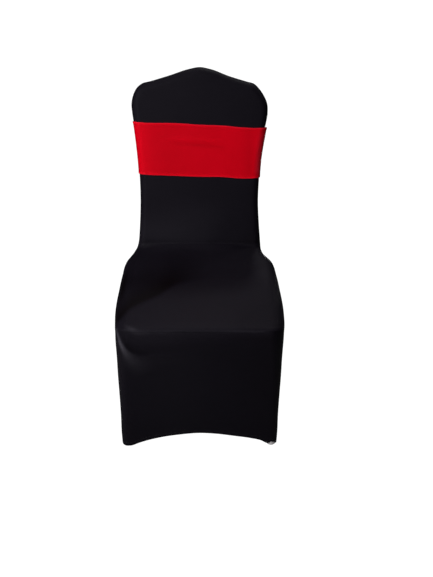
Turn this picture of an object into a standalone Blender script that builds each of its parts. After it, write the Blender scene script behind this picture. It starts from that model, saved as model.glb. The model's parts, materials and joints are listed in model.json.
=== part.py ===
"""Stretch-knit cover for a crown-back banquet chair, with a sash round the upper back.

Sizes are in metres. The front of the cover faces -Y and its foot pockets stand on z = 0.
Each panel is a thin sheet: its outer face is laid out as grids of points, and the cloth's
thickness is taken inwards. Neighbouring panels stop a seam gap apart. Places along y are
measured back from the front edge of the seat, and every piece is then set at SEAT_FRONT.
"""

import math

import bmesh
import bpy
import numpy as np

# Cloth and joins
CLOTH = 0.0016
SEAM_GAP = 0.0005
SEAT_FRONT = -0.27594

# Back of the chair under the cover: a leaning slab with a half-round edge
EDGE_RADIUS = 0.022
LEAN = math.atan(0.30)
CROWN_Y = 0.5424
CROWN_Z = 0.9480
JOIN_Z = 0.490
BACK_BULGE = 0.0035
REAR_BULGE = 0.0014

# Outline of the back at mid thickness, from each side join up to the crown
LEFT_EDGE = {
    "x": (-0.1820, -0.1775, -0.1742, -0.1738, -0.1780, -0.1842, -0.1898, -0.1908,
          -0.1855, -0.1748, -0.1590, -0.1370, -0.0810, -0.0260, 0.0),
    "z": (0.4900, 0.5400, 0.6000, 0.6500, 0.7350, 0.7950, 0.8360, 0.8560,
          0.8780, 0.8965, 0.9080, 0.9133, 0.9283, 0.9441, 0.9480),
}
RIGHT_EDGE = {
    "x": (0.1825, 0.1772, 0.1730, 0.1734, 0.1775, 0.1862, 0.1922, 0.1902,
          0.1808, 0.1682, 0.1515, 0.1300, 0.0840, 0.0280, 0.0),
    "z": (0.4900, 0.5400, 0.6000, 0.6500, 0.7350, 0.7950, 0.8360, 0.8560,
          0.8760, 0.8925, 0.9070, 0.9128, 0.9253, 0.9437, 0.9480),
}
SHOULDER_Z = 0.8950
UPRIGHT_ROWS = 9  # rows of each edge table that lie below the shoulder

# Middle line of the inside panel, from the foot of the back over the seat to its front edge
SEAT_RUN = {
    "y": (0.3840, 0.3796, 0.3720, 0.3580, 0.3350, 0.2950, 0.2500,
          0.2100, 0.1300, 0.0500, 0.0200, 0.0080, 0.0020, 0.0000),
    "z": (0.4963, 0.4840, 0.4772, 0.4733, 0.4692, 0.4618, 0.4545,
          0.4526, 0.4525, 0.4524, 0.4517, 0.4502, 0.4472, 0.4440),
}
# Where the inside panel ends at the seat's side, for places along its middle line
SIDE_SEAM = {
    "run_y": (0.3840, 0.3740, 0.3550, 0.3200, 0.2700, 0.2100, 0.1300, 0.0800, 0.0350, 0.0000),
    "left_x": (0.1820, 0.1855, 0.1965, 0.2172, 0.2248, 0.2275, 0.2281, 0.2262, 0.2230, 0.2208),
    "right_x": (0.1825, 0.1830, 0.1890, 0.2150, 0.2245, 0.2275, 0.2283, 0.2266, 0.2242, 0.2217),
    "y": (0.4050, 0.3930, 0.3720, 0.3350, 0.2800, 0.2150, 0.1370, 0.0950, 0.0620, 0.0450),
    "z": (0.4900, 0.4740, 0.4580, 0.4430, 0.4325, 0.4280, 0.4270, 0.4265, 0.4255, 0.4250),
    "edge": (0.0220, 0.0230, 0.0260, 0.0310, 0.0360, 0.0400, 0.0420, 0.0420, 0.0420, 0.0420),
}
CORNER_RUN = 0.10  # how far back the seat's rounded edge starts to turn into its front corner
CORNER_POWER = 1.5

# Front skirt by height: face, side, and the rounding of the corner across and along
FRONT = {
    "z": (0.0000, 0.0420, 0.1200, 0.2000, 0.2600, 0.3460, 0.3850, 0.4000, 0.4200, 0.4350, 0.4440),
    "face_y": (0.0180, 0.0174, 0.0128, 0.0090, 0.0060, 0.0005, -0.0030, -0.0045, -0.0050, -0.0030, 0.0000),
    "side_x": (0.2320, 0.2315, 0.2281, 0.2265, 0.2255, 0.2230, 0.2224, 0.2222, 0.2217, 0.2217, 0.2217),
    "across": (0.0176, 0.0178, 0.0205, 0.0240, 0.0265, 0.0310, 0.0350, 0.0370, 0.0400, 0.0415, 0.0420),
    "along": (0.0176, 0.0180, 0.0240, 0.0320, 0.0360, 0.0430, 0.0460, 0.0480, 0.0500, 0.0480, 0.0450),
}
# Outside back below the side join, by height
REAR = {
    "z": (0.0000, 0.0400, 0.1200, 0.2500, 0.3500, 0.4000, 0.4500, 0.4840, 0.5200),
    "face_y": (0.4656, 0.4650, 0.4530, 0.4320, 0.4210, 0.4188, 0.4200, 0.4262, 0.4370),
    "side_x": (0.2070, 0.2062, 0.2030, 0.1990, 0.1950, 0.1920, 0.1875, 0.1840, 0.1800),
    "across": (0.0176, 0.0178, 0.0200, 0.0215, 0.0220, 0.0220, 0.0220, 0.0220, 0.0220),
    "along": (0.0176, 0.0180, 0.0200, 0.0220, 0.0235, 0.0235, 0.0225, 0.0211, 0.0211),
}

# Height of the hems, which rise between the feet
FRONT_HEM = {
    "x": (-0.2320, -0.2144, -0.1990, -0.1840, -0.1600, -0.1120, -0.0640, 0.0,
          0.0550, 0.1030, 0.1510, 0.1850, 0.1990, 0.2032, 0.2092, 0.2166, 0.2212, 0.2320),
    "z": (0.0010, 0.0010, 0.0024, 0.0084, 0.0160, 0.0268, 0.0334, 0.0394,
          0.0366, 0.0312, 0.0268, 0.0205, 0.0132, 0.0130, 0.0174, 0.0190, 0.0165, 0.0010),
}
SIDE_HEM = {
    "share": (0.00, 0.04, 0.10, 0.25, 0.50, 0.75, 0.90, 0.96, 1.00),
    "z": (0.0010, 0.0018, 0.0095, 0.0240, 0.0330, 0.0250, 0.0100, 0.0020, 0.0010),
}
REAR_HEM = {
    "x": (-0.2070, -0.1822, -0.1573, -0.1035, 0.0, 0.1035, 0.1573, 0.1822, 0.2070),
    "z": (0.0010, 0.0018, 0.0090, 0.0220, 0.0310, 0.0225, 0.0090, 0.0018, 0.0010),
}
# How far the hems are drawn in under the seat, over what half width, and how far below its
# top row each panel takes to settle to its own table
FRONT_DRAW = {"bow": 0.016, "half_width": 0.205, "settle": 0.05}
REAR_DRAW = {"bow": 0.010, "half_width": 0.180, "settle": 0.08}
BOW_POWER = 2.2
SIDE_HEM_BOW = 0.012

# Behind this slanting line the seat cloth leaves the cushion and is drawn up to the back. The
# heights are those of the cushion and of the rise from it.
SWEEP_LINE = {
    "x": (-0.230, -0.200, -0.188, -0.172, -0.145, -0.112, -0.070, -0.030, 0.010, 0.080, 0.125, 0.155, 0.230),
    "y": (0.040, 0.060, 0.086, 0.105, 0.127, 0.154, 0.202, 0.224, 0.233, 0.230, 0.233, 0.262, 0.290),
}
SWEEP_FOOT_Y = 0.384
SWEEP_LEVEL = 0.4525
SWEEP_RISE = 0.036
SWEEP_POWER = 1.3
SWEEP_BLEND = 0.004  # how softly the drawn cloth meets the cushion's own line near the back
SWEEP_HOLD = 4  # how sharply the sides hold the cloth down
# How much the seat's middle swells above its sides
SEAT_SWELL = {
    "y": (0.0, 0.03, 0.10, 0.25, 0.34, 0.384),
    "height": (0.0, 0.0012, 0.0030, 0.0030, 0.0018, 0.0035),
}

# A fold that runs from the left front corner of the seat down into the front skirt
CORNER_FOLD = {
    "x": (-0.2127, -0.1998, -0.1793, -0.1438),
    "y": (0.0151, -0.0024, -0.0038, 0.0030),
    "z": (0.4378, 0.3992, 0.3564, 0.2965),
    "height": (0.0008, 0.0031, 0.0029, 0.0000),
}
FOLD_WIDTH = 0.018

# Foot pockets: stout cups that the chair's feet stand in. The profile runs from the middle
# of the sole out, up the outside, and down the inside to the middle again.
POCKET_PROFILE = {
    "radius": (0.0, 0.0108, 0.0139, 0.0153, 0.0146, 0.0132, 0.0139, 0.0109, 0.0),
    "z": (0.0, 0.0, 0.0012, 0.0050, 0.0360, 0.0360, 0.0060, 0.0020, 0.0020),
}
FRONT_POCKET = (0.2144, 0.0356)
REAR_POCKET = (0.1894, 0.4475)

# Sash: heights of its edges on the back, falling to the right, and its fit
SASH_EDGE = {
    "x": (-0.1900, -0.1500, -0.0700, 0.0000, 0.0700, 0.1200, 0.1550, 0.1900),
    "top_z": (0.8195, 0.8165, 0.8155, 0.8115, 0.8090, 0.8045, 0.8030, 0.8035),
    "bottom_z": (0.6820, 0.6795, 0.6770, 0.6745, 0.6735, 0.6695, 0.6700, 0.6720),
}
SASH_CLEAR = 0.0009
SASH_CLOTH = 0.0016

# How finely the sheets are divided
ACROSS = 14
ROUND_STEPS = 4
BACK_ROWS = 11
SEAT_ROWS = 17
EDGE_CROWDING = 0.05
SEAT_CROWDING = 0.028
SHARPEST_BEND = 90.0
SHARPEST_CORNER = 0.4
SKIRT_LEVELS = (0.0, 0.045, 0.11, 0.21, 0.34, 0.49, 0.65, 0.80, 0.915, 1.0)
SASH_ROWS = 4
SASH_FLAT = 18
SASH_ROUND = 10
POCKET_SIDES = 16
WELD = 1e-6

BLACK = (0.012, 0.012, 0.014, 1.0)
RED = (0.48, 0.0, 0.008, 1.0)
PALE = (0.80, 0.77, 0.78, 1.0)


def smooth(knots, values, at):
    """Values at the given places on a smooth curve through a table's rows."""
    knots = np.asarray(knots, float)
    values = np.asarray(values, float)
    at = np.asarray(at, float)
    if knots[0] > knots[-1]:
        knots = knots[::-1]
        values = values[::-1]
    gap = np.diff(knots)
    slope = np.diff(values) / gap
    tangent = np.empty_like(values)
    tangent[1:-1] = (slope[:-1] * gap[1:] + slope[1:] * gap[:-1]) / (gap[1:] + gap[:-1])
    tangent[0] = 1.5 * slope[0] - 0.5 * tangent[1]
    tangent[-1] = 1.5 * slope[-1] - 0.5 * tangent[-2]
    span = np.clip(np.searchsorted(knots, at, side="right") - 1, 0, len(gap) - 1)
    f = np.clip((at - knots[span]) / gap[span], 0.0, 1.0)
    rise = values[span] * (1 + 2 * f) * (1 - f) ** 2
    rise += values[span + 1] * f * f * (3 - 2 * f)
    rise += tangent[span] * gap[span] * f * (1 - f) ** 2
    rise -= tangent[span + 1] * gap[span] * f * f * (1 - f)
    return rise


def from_table(table, key, column, at):
    return smooth(table[key], table[column], at)


def curve_length(points):
    steps = np.linalg.norm(np.diff(points, axis=0), axis=1)
    return np.concatenate([[0.0], np.cumsum(steps)])


def dense_curve(columns, per_span=40):
    """A smooth curve through points given as columns, finely divided."""
    points = np.stack([np.asarray(column, float) for column in columns], axis=1)
    knots = curve_length(points)
    spans = [np.linspace(a, b, per_span + 1) for a, b in zip(knots[:-1], knots[1:])]
    at = np.unique(np.concatenate(spans))
    return np.stack([smooth(knots, points[:, i], at) for i in range(points.shape[1])], axis=1)


def bending(points):
    """How sharply a fine curve turns, as one over its radius."""
    along = unit(np.gradient(points, axis=0))
    step = np.linalg.norm(np.gradient(points, axis=0), axis=1)
    return np.linalg.norm(np.gradient(along, axis=0), axis=1) / np.maximum(step, 1e-9)


def spread(rows, count, crowding):
    """Picks rows along a fine curve, whose first two columns are its points, closer at bends."""
    weight = 1.0 + crowding * np.minimum(bending(rows[:, :2]), SHARPEST_BEND)
    steps = np.diff(curve_length(rows[:, :2])) * (weight[:-1] + weight[1:]) / 2
    length = np.concatenate([[0.0], np.cumsum(steps)])
    at = np.linspace(0.0, length[-1], count + 1)
    return np.stack([np.interp(at, length, column) for column in rows.T], axis=1)


def unit(vectors):
    """The vectors at length 1."""
    return vectors / np.maximum(np.linalg.norm(vectors, axis=-1, keepdims=True), 1e-12)


def slab(x, drop, out):
    """A point of the leaning back: drop runs down from the crown, out forwards from mid thickness."""
    x, drop, out = np.broadcast_arrays(x, drop, out)
    y = CROWN_Y - drop * math.sin(LEAN) - out * math.cos(LEAN)
    z = CROWN_Z - drop * math.cos(LEAN) + out * math.sin(LEAN)
    return np.stack([x, y, z], axis=-1)


def drop_at(z):
    """Length down the slab at which its mid thickness is at height z."""
    return (CROWN_Z - np.asarray(z)) / math.cos(LEAN)


def back_edge():
    """The back's edge as (x, drop) and its outward direction, from the left join over the crown."""
    x = np.concatenate([LEFT_EDGE["x"], RIGHT_EDGE["x"][-2::-1]])
    z = np.concatenate([LEFT_EDGE["z"], RIGHT_EDGE["z"][-2::-1]])
    points = dense_curve([x, drop_at(z)])
    along = unit(np.gradient(points, axis=0))
    outward = np.stack([along[:, 1], -along[:, 0]], axis=1)
    return points, outward


def edge_samples():
    """Edge points and directions at the rows of each side and the columns of the crown."""
    points, outward = back_edge()
    z = CROWN_Z - points[:, 1] * math.cos(LEAN)
    high = np.nonzero(z > SHOULDER_Z)[0]
    first, last = high[0], high[-1]
    both = np.concatenate([points, outward], axis=1)
    left = spread(both[: first + 1], BACK_ROWS, EDGE_CROWDING)[::-1]
    top = spread(both[first : last + 1], ACROSS, EDGE_CROWDING)
    right = spread(both[last:], BACK_ROWS, EDGE_CROWDING)
    return left, top, right


def turn(count):
    """Sine and versed sine over a quarter turn."""
    angle = np.linspace(0.0, math.pi / 2, count + 1)
    return np.sin(angle), 1.0 - np.cos(angle)


def edge_round(rows, side):
    """Half of the round edge at each row, from the flat face (side 1 front, -1 rear) to mid thickness."""
    sine, versed = turn(ROUND_STEPS)
    reach = EDGE_RADIUS * (1.0 - sine)[None, :]
    x = rows[:, 0:1] - rows[:, 2:3] * reach
    drop = rows[:, 1:2] - rows[:, 3:4] * reach
    return slab(x, drop, side * EDGE_RADIUS * (1.0 - versed)[None, :])


def face_grid(left, top, right, side, bulge):
    """The flat of the back inside its round edge, as rows from the crown to the join."""
    def inset(rows):
        return rows[:, :2] - rows[:, 2:] * EDGE_RADIUS

    a, t, b = inset(left), inset(top), inset(right)
    u = np.linspace(0.0, 1.0, ACROSS + 1)[None, :, None]
    v = np.linspace(0.0, 1.0, BACK_ROWS + 1)[:, None, None]
    base = a[-1][None, :] * (1 - u[0]) + b[-1][None, :] * u[0]
    flat = (1 - v) * t[None, :, :] + v * base[None, :, :]
    flat = flat + (1 - u) * a[:, None, :] + u * b[:, None, :]
    flat = flat - (1 - u) * ((1 - v) * a[0] + v * a[-1]) - u * ((1 - v) * b[0] + v * b[-1])
    swell = bulge * (1 - (2 * u[..., 0] - 1) ** 2) * (1 - (1 - v[..., 0]) ** 3)
    return slab(flat[..., 0], flat[..., 1], side * (EDGE_RADIUS + swell))


def seat_run():
    """The inside panel's middle line below the join: points and normals, closer together at bends."""
    line = dense_curve([SEAT_RUN["y"], SEAT_RUN["z"]])
    rows = spread(np.concatenate([line, np.gradient(line, axis=0)], axis=1), SEAT_ROWS, SEAT_CROWDING)
    along = unit(rows[:, 2:])
    normal = np.stack([along[:, 1], -along[:, 0]], axis=1)
    return rows[:, :2], normal


def seat_sweep(x, y, z, half_width):
    """How far the cloth that is drawn up to the back stands above the cushion's own line."""
    start = from_table(SWEEP_LINE, "x", "y", x)
    share = np.clip((y - start) / (SWEEP_FOOT_Y - start), 0.0, 1.0)
    drawn = SWEEP_LEVEL + SWEEP_RISE * share**SWEEP_POWER
    higher = 0.5 * (z + drawn + np.hypot(z - drawn, SWEEP_BLEND * share**2))
    held = 1.0 - np.minimum(np.abs(x) / half_width, 1.0) ** SWEEP_HOLD
    return np.where(share > 0, (higher - z) * held, 0.0)


def side_sections(side):
    """Rounded edge of the seat at one side: rows by steps, from the flat to the side seam."""
    run, normal = seat_run()
    y = run[:, 0]
    across_name = "left_x" if side < 0 else "right_x"
    columns = [from_table(SIDE_SEAM, "run_y", name, y) for name in (across_name, "y", "z")]
    rim = np.stack(columns, axis=1)
    inner = np.stack([rim[:, 0] - from_table(SIDE_SEAM, "run_y", "edge", y), y, run[:, 1]], axis=1)
    face = np.stack([np.zeros(len(y)), normal[:, 0], normal[:, 1]], axis=1)
    across = rim - inner
    fall = np.sum(across * face, axis=1, keepdims=True) * face
    level = across - fall
    swing = np.clip(1.0 - y / CORNER_RUN, 0.0, 1.0)[:, None, None] ** CORNER_POWER
    sine, versed = (part[None, :, None] for part in turn(ROUND_STEPS))
    sideways = level * np.array([1.0, 0.0, 0.0])
    lengthways = level - sideways
    points = inner[:, None, :] + sideways[:, None, :] * sine + fall[:, None, :] * versed
    points = points + lengthways[:, None, :] * ((1 - swing) * sine + swing * versed)
    points[..., 0] *= side
    return points


def seat_grid(left, right):
    """Rows of the seat between its two rounded sides."""
    run, normal = seat_run()
    u = np.linspace(0.0, 1.0, ACROSS + 1)[None, :]
    x = left[:, 0, 0][:, None] * (1 - u) + right[:, 0, 0][:, None] * u
    y = np.repeat(run[:, :1], ACROSS + 1, axis=1)
    z = np.repeat(run[:, 1:], ACROSS + 1, axis=1)
    height = np.interp(run[:, 0], SEAT_SWELL["y"], SEAT_SWELL["height"])
    lift = height[:, None] * (1 - (2 * u - 1) ** 2)
    y = y + lift * normal[:, :1]
    z = z + lift * normal[:, 1:]
    half_width = np.where(x < 0, -left[:, :1, 0], right[:, :1, 0])
    z = z + seat_sweep(x, run[:, :1], run[:, 1:], half_width)
    return np.stack([x, y, z], axis=-1)


def ease(share):
    """Falls smoothly from 1 to 0 as the share goes from 0 to 1."""
    share = np.clip(share, 0.0, 1.0)
    return 1.0 - share * share * (3 - 2 * share)


def wrap_round():
    """Across a front or rear panel: its flat, and the rounding of its corners out and along."""
    sine, versed = turn(ROUND_STEPS)
    none, ones = np.zeros(ACROSS + 1), np.ones(ROUND_STEPS)
    flat = np.concatenate([-ones, np.linspace(-1.0, 1.0, ACROSS + 1), ones])
    out = np.concatenate([-sine[:0:-1], none, sine[1:]])
    along = np.concatenate([versed[:0:-1], none, versed[1:]])
    return flat, out, along


def hanging_panel(top, table, hem_table, draw, backwards):
    """A front or rear panel as rows below its top row. Its corners turn the way of backwards."""
    flat, out, along = wrap_round()
    level = np.array(SKIRT_LEVELS)[:, None]

    def shape(z):
        side, face, across, reach = (
            from_table(table, "z", name, z) for name in ("side_x", "face_y", "across", "along")
        )
        x = flat * (side - across) + out * across
        return np.stack([x, face + backwards * along * reach, z], axis=-1)

    foot_x = shape(np.zeros(len(flat)))[:, 0]
    hem = from_table(hem_table, "x", "z", foot_x)
    z = top[:, 2] * (1 - level) + hem * level
    keep = ease((top[:, 2] - z) / draw["settle"])[..., None]
    points = shape(z) + keep * (top - shape(top[:, 2]))
    bow = draw["bow"] * (1 - np.minimum(np.abs(foot_x) / draw["half_width"], 1.0) ** 2)
    points[..., 1] += backwards * bow * level**BOW_POWER
    points[0] = top
    return points


def side_skirt(seam, front, rear, side):
    """The side skirt between the seat's side seam, the front seam, the rear seam and its hem."""
    run = (seam[:, 1] - front[0, 1]) / (seam[0, 1] - front[0, 1])
    start, end = front[-1], rear[-1]
    hem = start[None, :] * (1 - run)[:, None] + end[None, :] * run[:, None]
    hem[:, 2] = from_table(SIDE_HEM, "share", "z", run)
    hem[:, 0] -= side * SIDE_HEM_BOW * (1 - (2 * run - 1) ** 2)
    hem[0], hem[-1] = end, start
    level = ((front[:, 2] - front[0, 2]) / (front[-1, 2] - front[0, 2]))[:, None, None]
    share = run[None, :, None]
    points = (1 - level) * seam[None] + level * hem[None]
    points = points + (1 - share) * front[:, None] + share * rear[:, None]
    corners = (1 - level) * ((1 - share) * front[0] + share * rear[0])
    corners = corners + level * ((1 - share) * front[-1] + share * rear[-1])
    return points - corners


def fold_height(points):
    """Height of the corner fold at each point."""
    line = np.array(list(CORNER_FOLD.values())).T
    fine = np.concatenate([np.linspace(a, b, 24) for a, b in zip(line[:-1], line[1:])])
    away = np.linalg.norm(points[:, None, :] - fine[None, :, :3], axis=2)
    near = np.argmin(away, axis=1)
    reach = away[np.arange(len(points)), near] / FOLD_WIDTH
    return fine[near, 3] * np.exp(-reach * reach)


class Sheet:
    """Quads of one cloth panel's outer face. Points that coincide are shared."""

    def __init__(self, name):
        self.name = name
        self.points = []
        self.index = {}
        self.quads = []

    def at(self, point):
        key = same_place(point)
        if key not in self.index:
            self.index[key] = len(self.points)
            self.points.append([float(value) for value in point])
        return self.index[key]

    def add(self, grid, turned=False):
        """Adds a grid of points whose faces look outwards, or inwards when turned is set."""
        ids = [[self.at(point) for point in row] for row in grid]
        for upper, lower in zip(ids[:-1], ids[1:]):
            for i in range(len(upper) - 1):
                quad = (upper[i], lower[i], lower[i + 1], upper[i + 1])
                self.quads.append(quad[::-1] if turned else quad)


def same_place(point):
    """A key that is the same for points that coincide."""
    return tuple(int(round(float(value) / WELD)) for value in point)


def corner_normals(sheets):
    """The outward direction at each place, shared by all panels that meet there."""
    total = {}
    for sheet in sheets:
        points = np.array(sheet.points)
        for quad in sheet.quads:
            a, b, c, d = (points[i] for i in quad)
            normal = np.cross(c - a, d - b)
            for i in quad:
                key = same_place(sheet.points[i])
                total[key] = total.get(key, 0.0) + normal / math.sqrt(max(np.linalg.norm(normal), 1e-12))
    return [unit(np.array([total[same_place(point)] for point in sheet.points])) for sheet in sheets]


def edge_steps(points, quads, normals):
    """For each point on the sheet's border, the step that moves it in from the border by one unit."""
    sides = {}
    for quad in quads:
        centre = points[list(quad)].mean(axis=0)
        for a, b in zip(quad, quad[1:] + quad[:1]):
            key = (min(a, b), max(a, b))
            sides.setdefault(key, []).append(centre)
    inwards = {}
    for (a, b), centres in sides.items():
        if len(centres) != 1:
            continue
        along = unit(points[b] - points[a])
        for i in (a, b):
            way = np.cross(normals[i], along)
            if np.dot(way, centres[0] - points[a]) < 0:
                way = -way
            inwards.setdefault(i, []).append(unit(way))
    steps = np.zeros_like(points)
    for i, ways in inwards.items():
        first, second = ways[0], ways[-1]
        steps[i] = (first + second) / max(1.0 + float(np.dot(first, second)), SHARPEST_CORNER)
        if len(ways) == 1:
            steps[i] = first
    return steps


def thickened(points, quads, normals):
    """Outer and inner faces of a sheet, trimmed by half a seam gap and closed round the border."""
    outer = points + edge_steps(points, quads, normals) * SEAM_GAP / 2
    inner = outer - normals * CLOTH
    count = len(points)
    faces = list(quads) + [tuple(i + count for i in quad[::-1]) for quad in quads]
    used = {pair for quad in quads for pair in zip(quad, quad[1:] + quad[:1])}
    for a, b in sorted(used):
        if (b, a) not in used:
            faces.append((b, a, a + count, b + count))
    return np.concatenate([outer, inner]), faces


def material(name, colour, roughness):
    made = bpy.data.materials.new(name)
    made.use_nodes = True
    surface = made.node_tree.nodes["Principled BSDF"]
    surface.inputs["Base Color"].default_value = colour
    surface.inputs["Roughness"].default_value = roughness
    surface.inputs["Metallic"].default_value = 0.0
    return made


def cloth_mesh(name, points, faces):
    """A mesh from points and the corners of each face."""
    mesh = bpy.data.meshes.new(name)
    mesh.from_pydata(np.asarray(points).tolist(), [], [tuple(face) for face in faces])
    return mesh


def place(name, mesh, location, finish):
    """Adds the object of a piece, shaded smooth."""
    mesh.polygons.foreach_set("use_smooth", [True] * len(mesh.polygons))
    mesh.materials.append(finish)
    mesh.update()
    made = bpy.data.objects.new(name, mesh)
    made.location = location
    bpy.context.scene.collection.objects.link(made)


def cover_sheets():
    """The five panels' outer faces, sharing their border points."""
    left, top, right = edge_samples()
    front_left, front_top, front_right = (edge_round(rows, 1) for rows in (left, top, right))
    rear_left, rear_top, rear_right = (edge_round(rows, -1) for rows in (left, top, right))
    seat_left, seat_right = side_sections(-1), side_sections(1)
    seat = seat_grid(seat_left, seat_right)
    front_face = face_grid(left, top, right, 1, BACK_BULGE)
    seat[0], seat_left[0], seat_right[0] = front_face[-1], front_left[-1], front_right[-1]

    inside = Sheet("inside_back_and_seat")
    inside.add(front_face)
    inside.add(front_left[:, ::-1])
    inside.add(front_right)
    inside.add(np.swapaxes(front_top, 0, 1)[::-1])
    inside.add(seat)
    inside.add(seat_left[:, ::-1])
    inside.add(seat_right)

    front_row = np.concatenate([seat_left[-1, :0:-1], seat[-1], seat_right[-1, 1:]])
    skirt = hanging_panel(front_row, FRONT, FRONT_HEM, FRONT_DRAW, 1)
    front = Sheet("front_skirt")
    front.add(skirt)

    rear_face = face_grid(left, top, right, -1, REAR_BULGE)
    outside = Sheet("outside_back")
    outside.add(rear_face, turned=True)
    outside.add(rear_left[:, ::-1], turned=True)
    outside.add(rear_right, turned=True)
    outside.add(np.swapaxes(rear_top, 0, 1)[::-1], turned=True)
    rear_row = np.concatenate([rear_left[-1, :0:-1], rear_face[-1], rear_right[-1, 1:]])
    lower = hanging_panel(rear_row, REAR, REAR_HEM, REAR_DRAW, -1)
    outside.add(lower, turned=True)

    side_left = Sheet("side_skirt_left")
    side_left.add(side_skirt(seat_left[:, -1], skirt[:, 0], lower[:, 0], -1))
    side_right = Sheet("side_skirt_right")
    side_right.add(side_skirt(seat_right[:, -1], skirt[:, -1], lower[:, -1], 1), turned=True)
    return [inside, front, outside, side_left, side_right]


def raise_folds(sheets):
    """Moves each panel's points outwards by the folds' height."""
    for sheet, normals in zip(sheets, corner_normals(sheets)):
        points = np.array(sheet.points)
        points = points + normals * fold_height(points)[:, None]
        sheet.points = points.tolist()


def sash_loop():
    """Once round the sash: share across the flat, and the direction at the rounded sides."""
    across = np.linspace(-1.0, 1.0, SASH_FLAT + 1)[:-1]
    angle = np.linspace(0.0, math.pi, SASH_ROUND + 1)[:-1]
    ones, none = np.ones(SASH_ROUND), np.zeros(SASH_FLAT)
    share = np.concatenate([across, ones, -across, -ones])
    sideways = np.concatenate([none, np.sin(angle), none, -np.sin(angle)])
    forwards = np.concatenate([none + 1, np.cos(angle), none - 1, -np.cos(angle)])
    return share, sideways, forwards


def flat_end(edge, z):
    """Where the flat of the back ends at one side, at a height."""
    side = math.copysign(EDGE_RADIUS, edge["x"][0])
    return smooth(edge["z"][:UPRIGHT_ROWS], edge["x"][:UPRIGHT_ROWS], [z])[0] - side


def sash_layer(reach):
    """The sash's face at a distance outside the back: rows from its upper to its lower edge."""
    share, sideways, forwards = sash_loop()
    radius = EDGE_RADIUS + reach
    swell = (1 - share**2) * np.where(forwards > 0, BACK_BULGE, REAR_BULGE)
    top, bottom = (from_table(SASH_EDGE, "x", name, 0.0) for name in ("top_z", "bottom_z"))
    layer = []
    for row in np.linspace(0.0, 1.0, SASH_ROWS + 1):
        middle = top * (1 - row) + bottom * row
        left, right = flat_end(LEFT_EDGE, middle), flat_end(RIGHT_EDGE, middle)
        x = left * (1 - share) / 2 + right * (1 + share) / 2 + sideways * radius
        upper = from_table(SASH_EDGE, "x", "top_z", x)
        lower = from_table(SASH_EDGE, "x", "bottom_z", x)
        z = upper * (1 - row) + lower * row - radius * math.sin(LEAN)
        layer.append(slab(x, drop_at(z), forwards * radius + np.sign(forwards) * swell))
    return np.array(layer)


def sash_mesh():
    """The sash as one closed band."""
    outer, inner = sash_layer(SASH_CLEAR + SASH_CLOTH), sash_layer(SASH_CLEAR)
    rows, around = outer.shape[:2]
    count = rows * around
    points = np.concatenate([outer.reshape(-1, 3), inner.reshape(-1, 3)])
    faces = []
    for j in range(rows - 1):
        for i in range(around):
            k = (i + 1) % around
            faces.append((j * around + i, (j + 1) * around + i, (j + 1) * around + k, j * around + k))
            inside = (j * around + k, (j + 1) * around + k, (j + 1) * around + i, j * around + i)
            faces.append(tuple(n + count for n in inside))
    last = (rows - 1) * around
    for i in range(around):
        k = (i + 1) % around
        faces.append((i, k, k + count, i + count))
        faces.append((last + k, last + i, last + i + count, last + k + count))
    return points, faces


def pocket_mesh():
    """A cup with a closed sole, turned about its upright middle line."""
    shape = bmesh.new()
    points = [shape.verts.new((radius, 0.0, z)) for radius, z in zip(*POCKET_PROFILE.values())]
    edges = [shape.edges.new(pair) for pair in zip(points[:-1], points[1:])]
    bmesh.ops.spin(
        shape,
        geom=points + edges,
        cent=(0, 0, 0),
        axis=(0, 0, 1),
        angle=2 * math.pi,
        steps=POCKET_SIDES,
        use_merge=True,
    )
    bmesh.ops.remove_doubles(shape, verts=shape.verts, dist=WELD)
    bmesh.ops.recalc_face_normals(shape, faces=shape.faces)
    mesh = bpy.data.meshes.new("foot_pocket")
    shape.to_mesh(mesh)
    shape.free()
    return mesh


def build():
    for thing in list(bpy.data.objects):
        bpy.data.objects.remove(thing, do_unlink=True)
    sheets = cover_sheets()
    raise_folds(sheets)
    for sheet, normals in zip(sheets, corner_normals(sheets)):
        points, faces = thickened(np.array(sheet.points), sheet.quads, normals)
        finish = material(sheet.name + "_knit", BLACK, 0.75)
        place(sheet.name, cloth_mesh(sheet.name, points, faces), (0.0, SEAT_FRONT, 0.0), finish)
    finish = material("sash_knit", RED, 0.7)
    place("sash", cloth_mesh("sash", *sash_mesh()), (0.0, SEAT_FRONT, 0.0), finish)
    for end, (x, y) in (("front", FRONT_POCKET), ("rear", REAR_POCKET)):
        for side, sign in (("left", -1), ("right", 1)):
            name = f"foot_pocket_{end}_{side}"
            finish = material(name + "_cloth", PALE, 0.8)
            place(name, pocket_mesh(), (sign * x, y + SEAT_FRONT, 0.0), finish)


build()
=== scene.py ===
# %% [markdown]
# # A stretch cover and sash for a banquet chair
#
# The object is a black stretch-knit cover, drawn over a banquet chair with a crowned back, and
# a red sash of the same kind of knit round the upper back. The chair itself isn't made: the
# cover hangs in the shape that the chair gives it. The cover is sewn from five panels: the
# inside back with the seat, the outside back, the front skirt and two side skirts. Four pale
# pockets at the corners hold the chair's feet.
#
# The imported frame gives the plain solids. They are loaded first, and each one is then replaced
# by a finer piece of cloth that lies in the same place.

# %% Load the frame
import json
import math
from functools import partial

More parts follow.
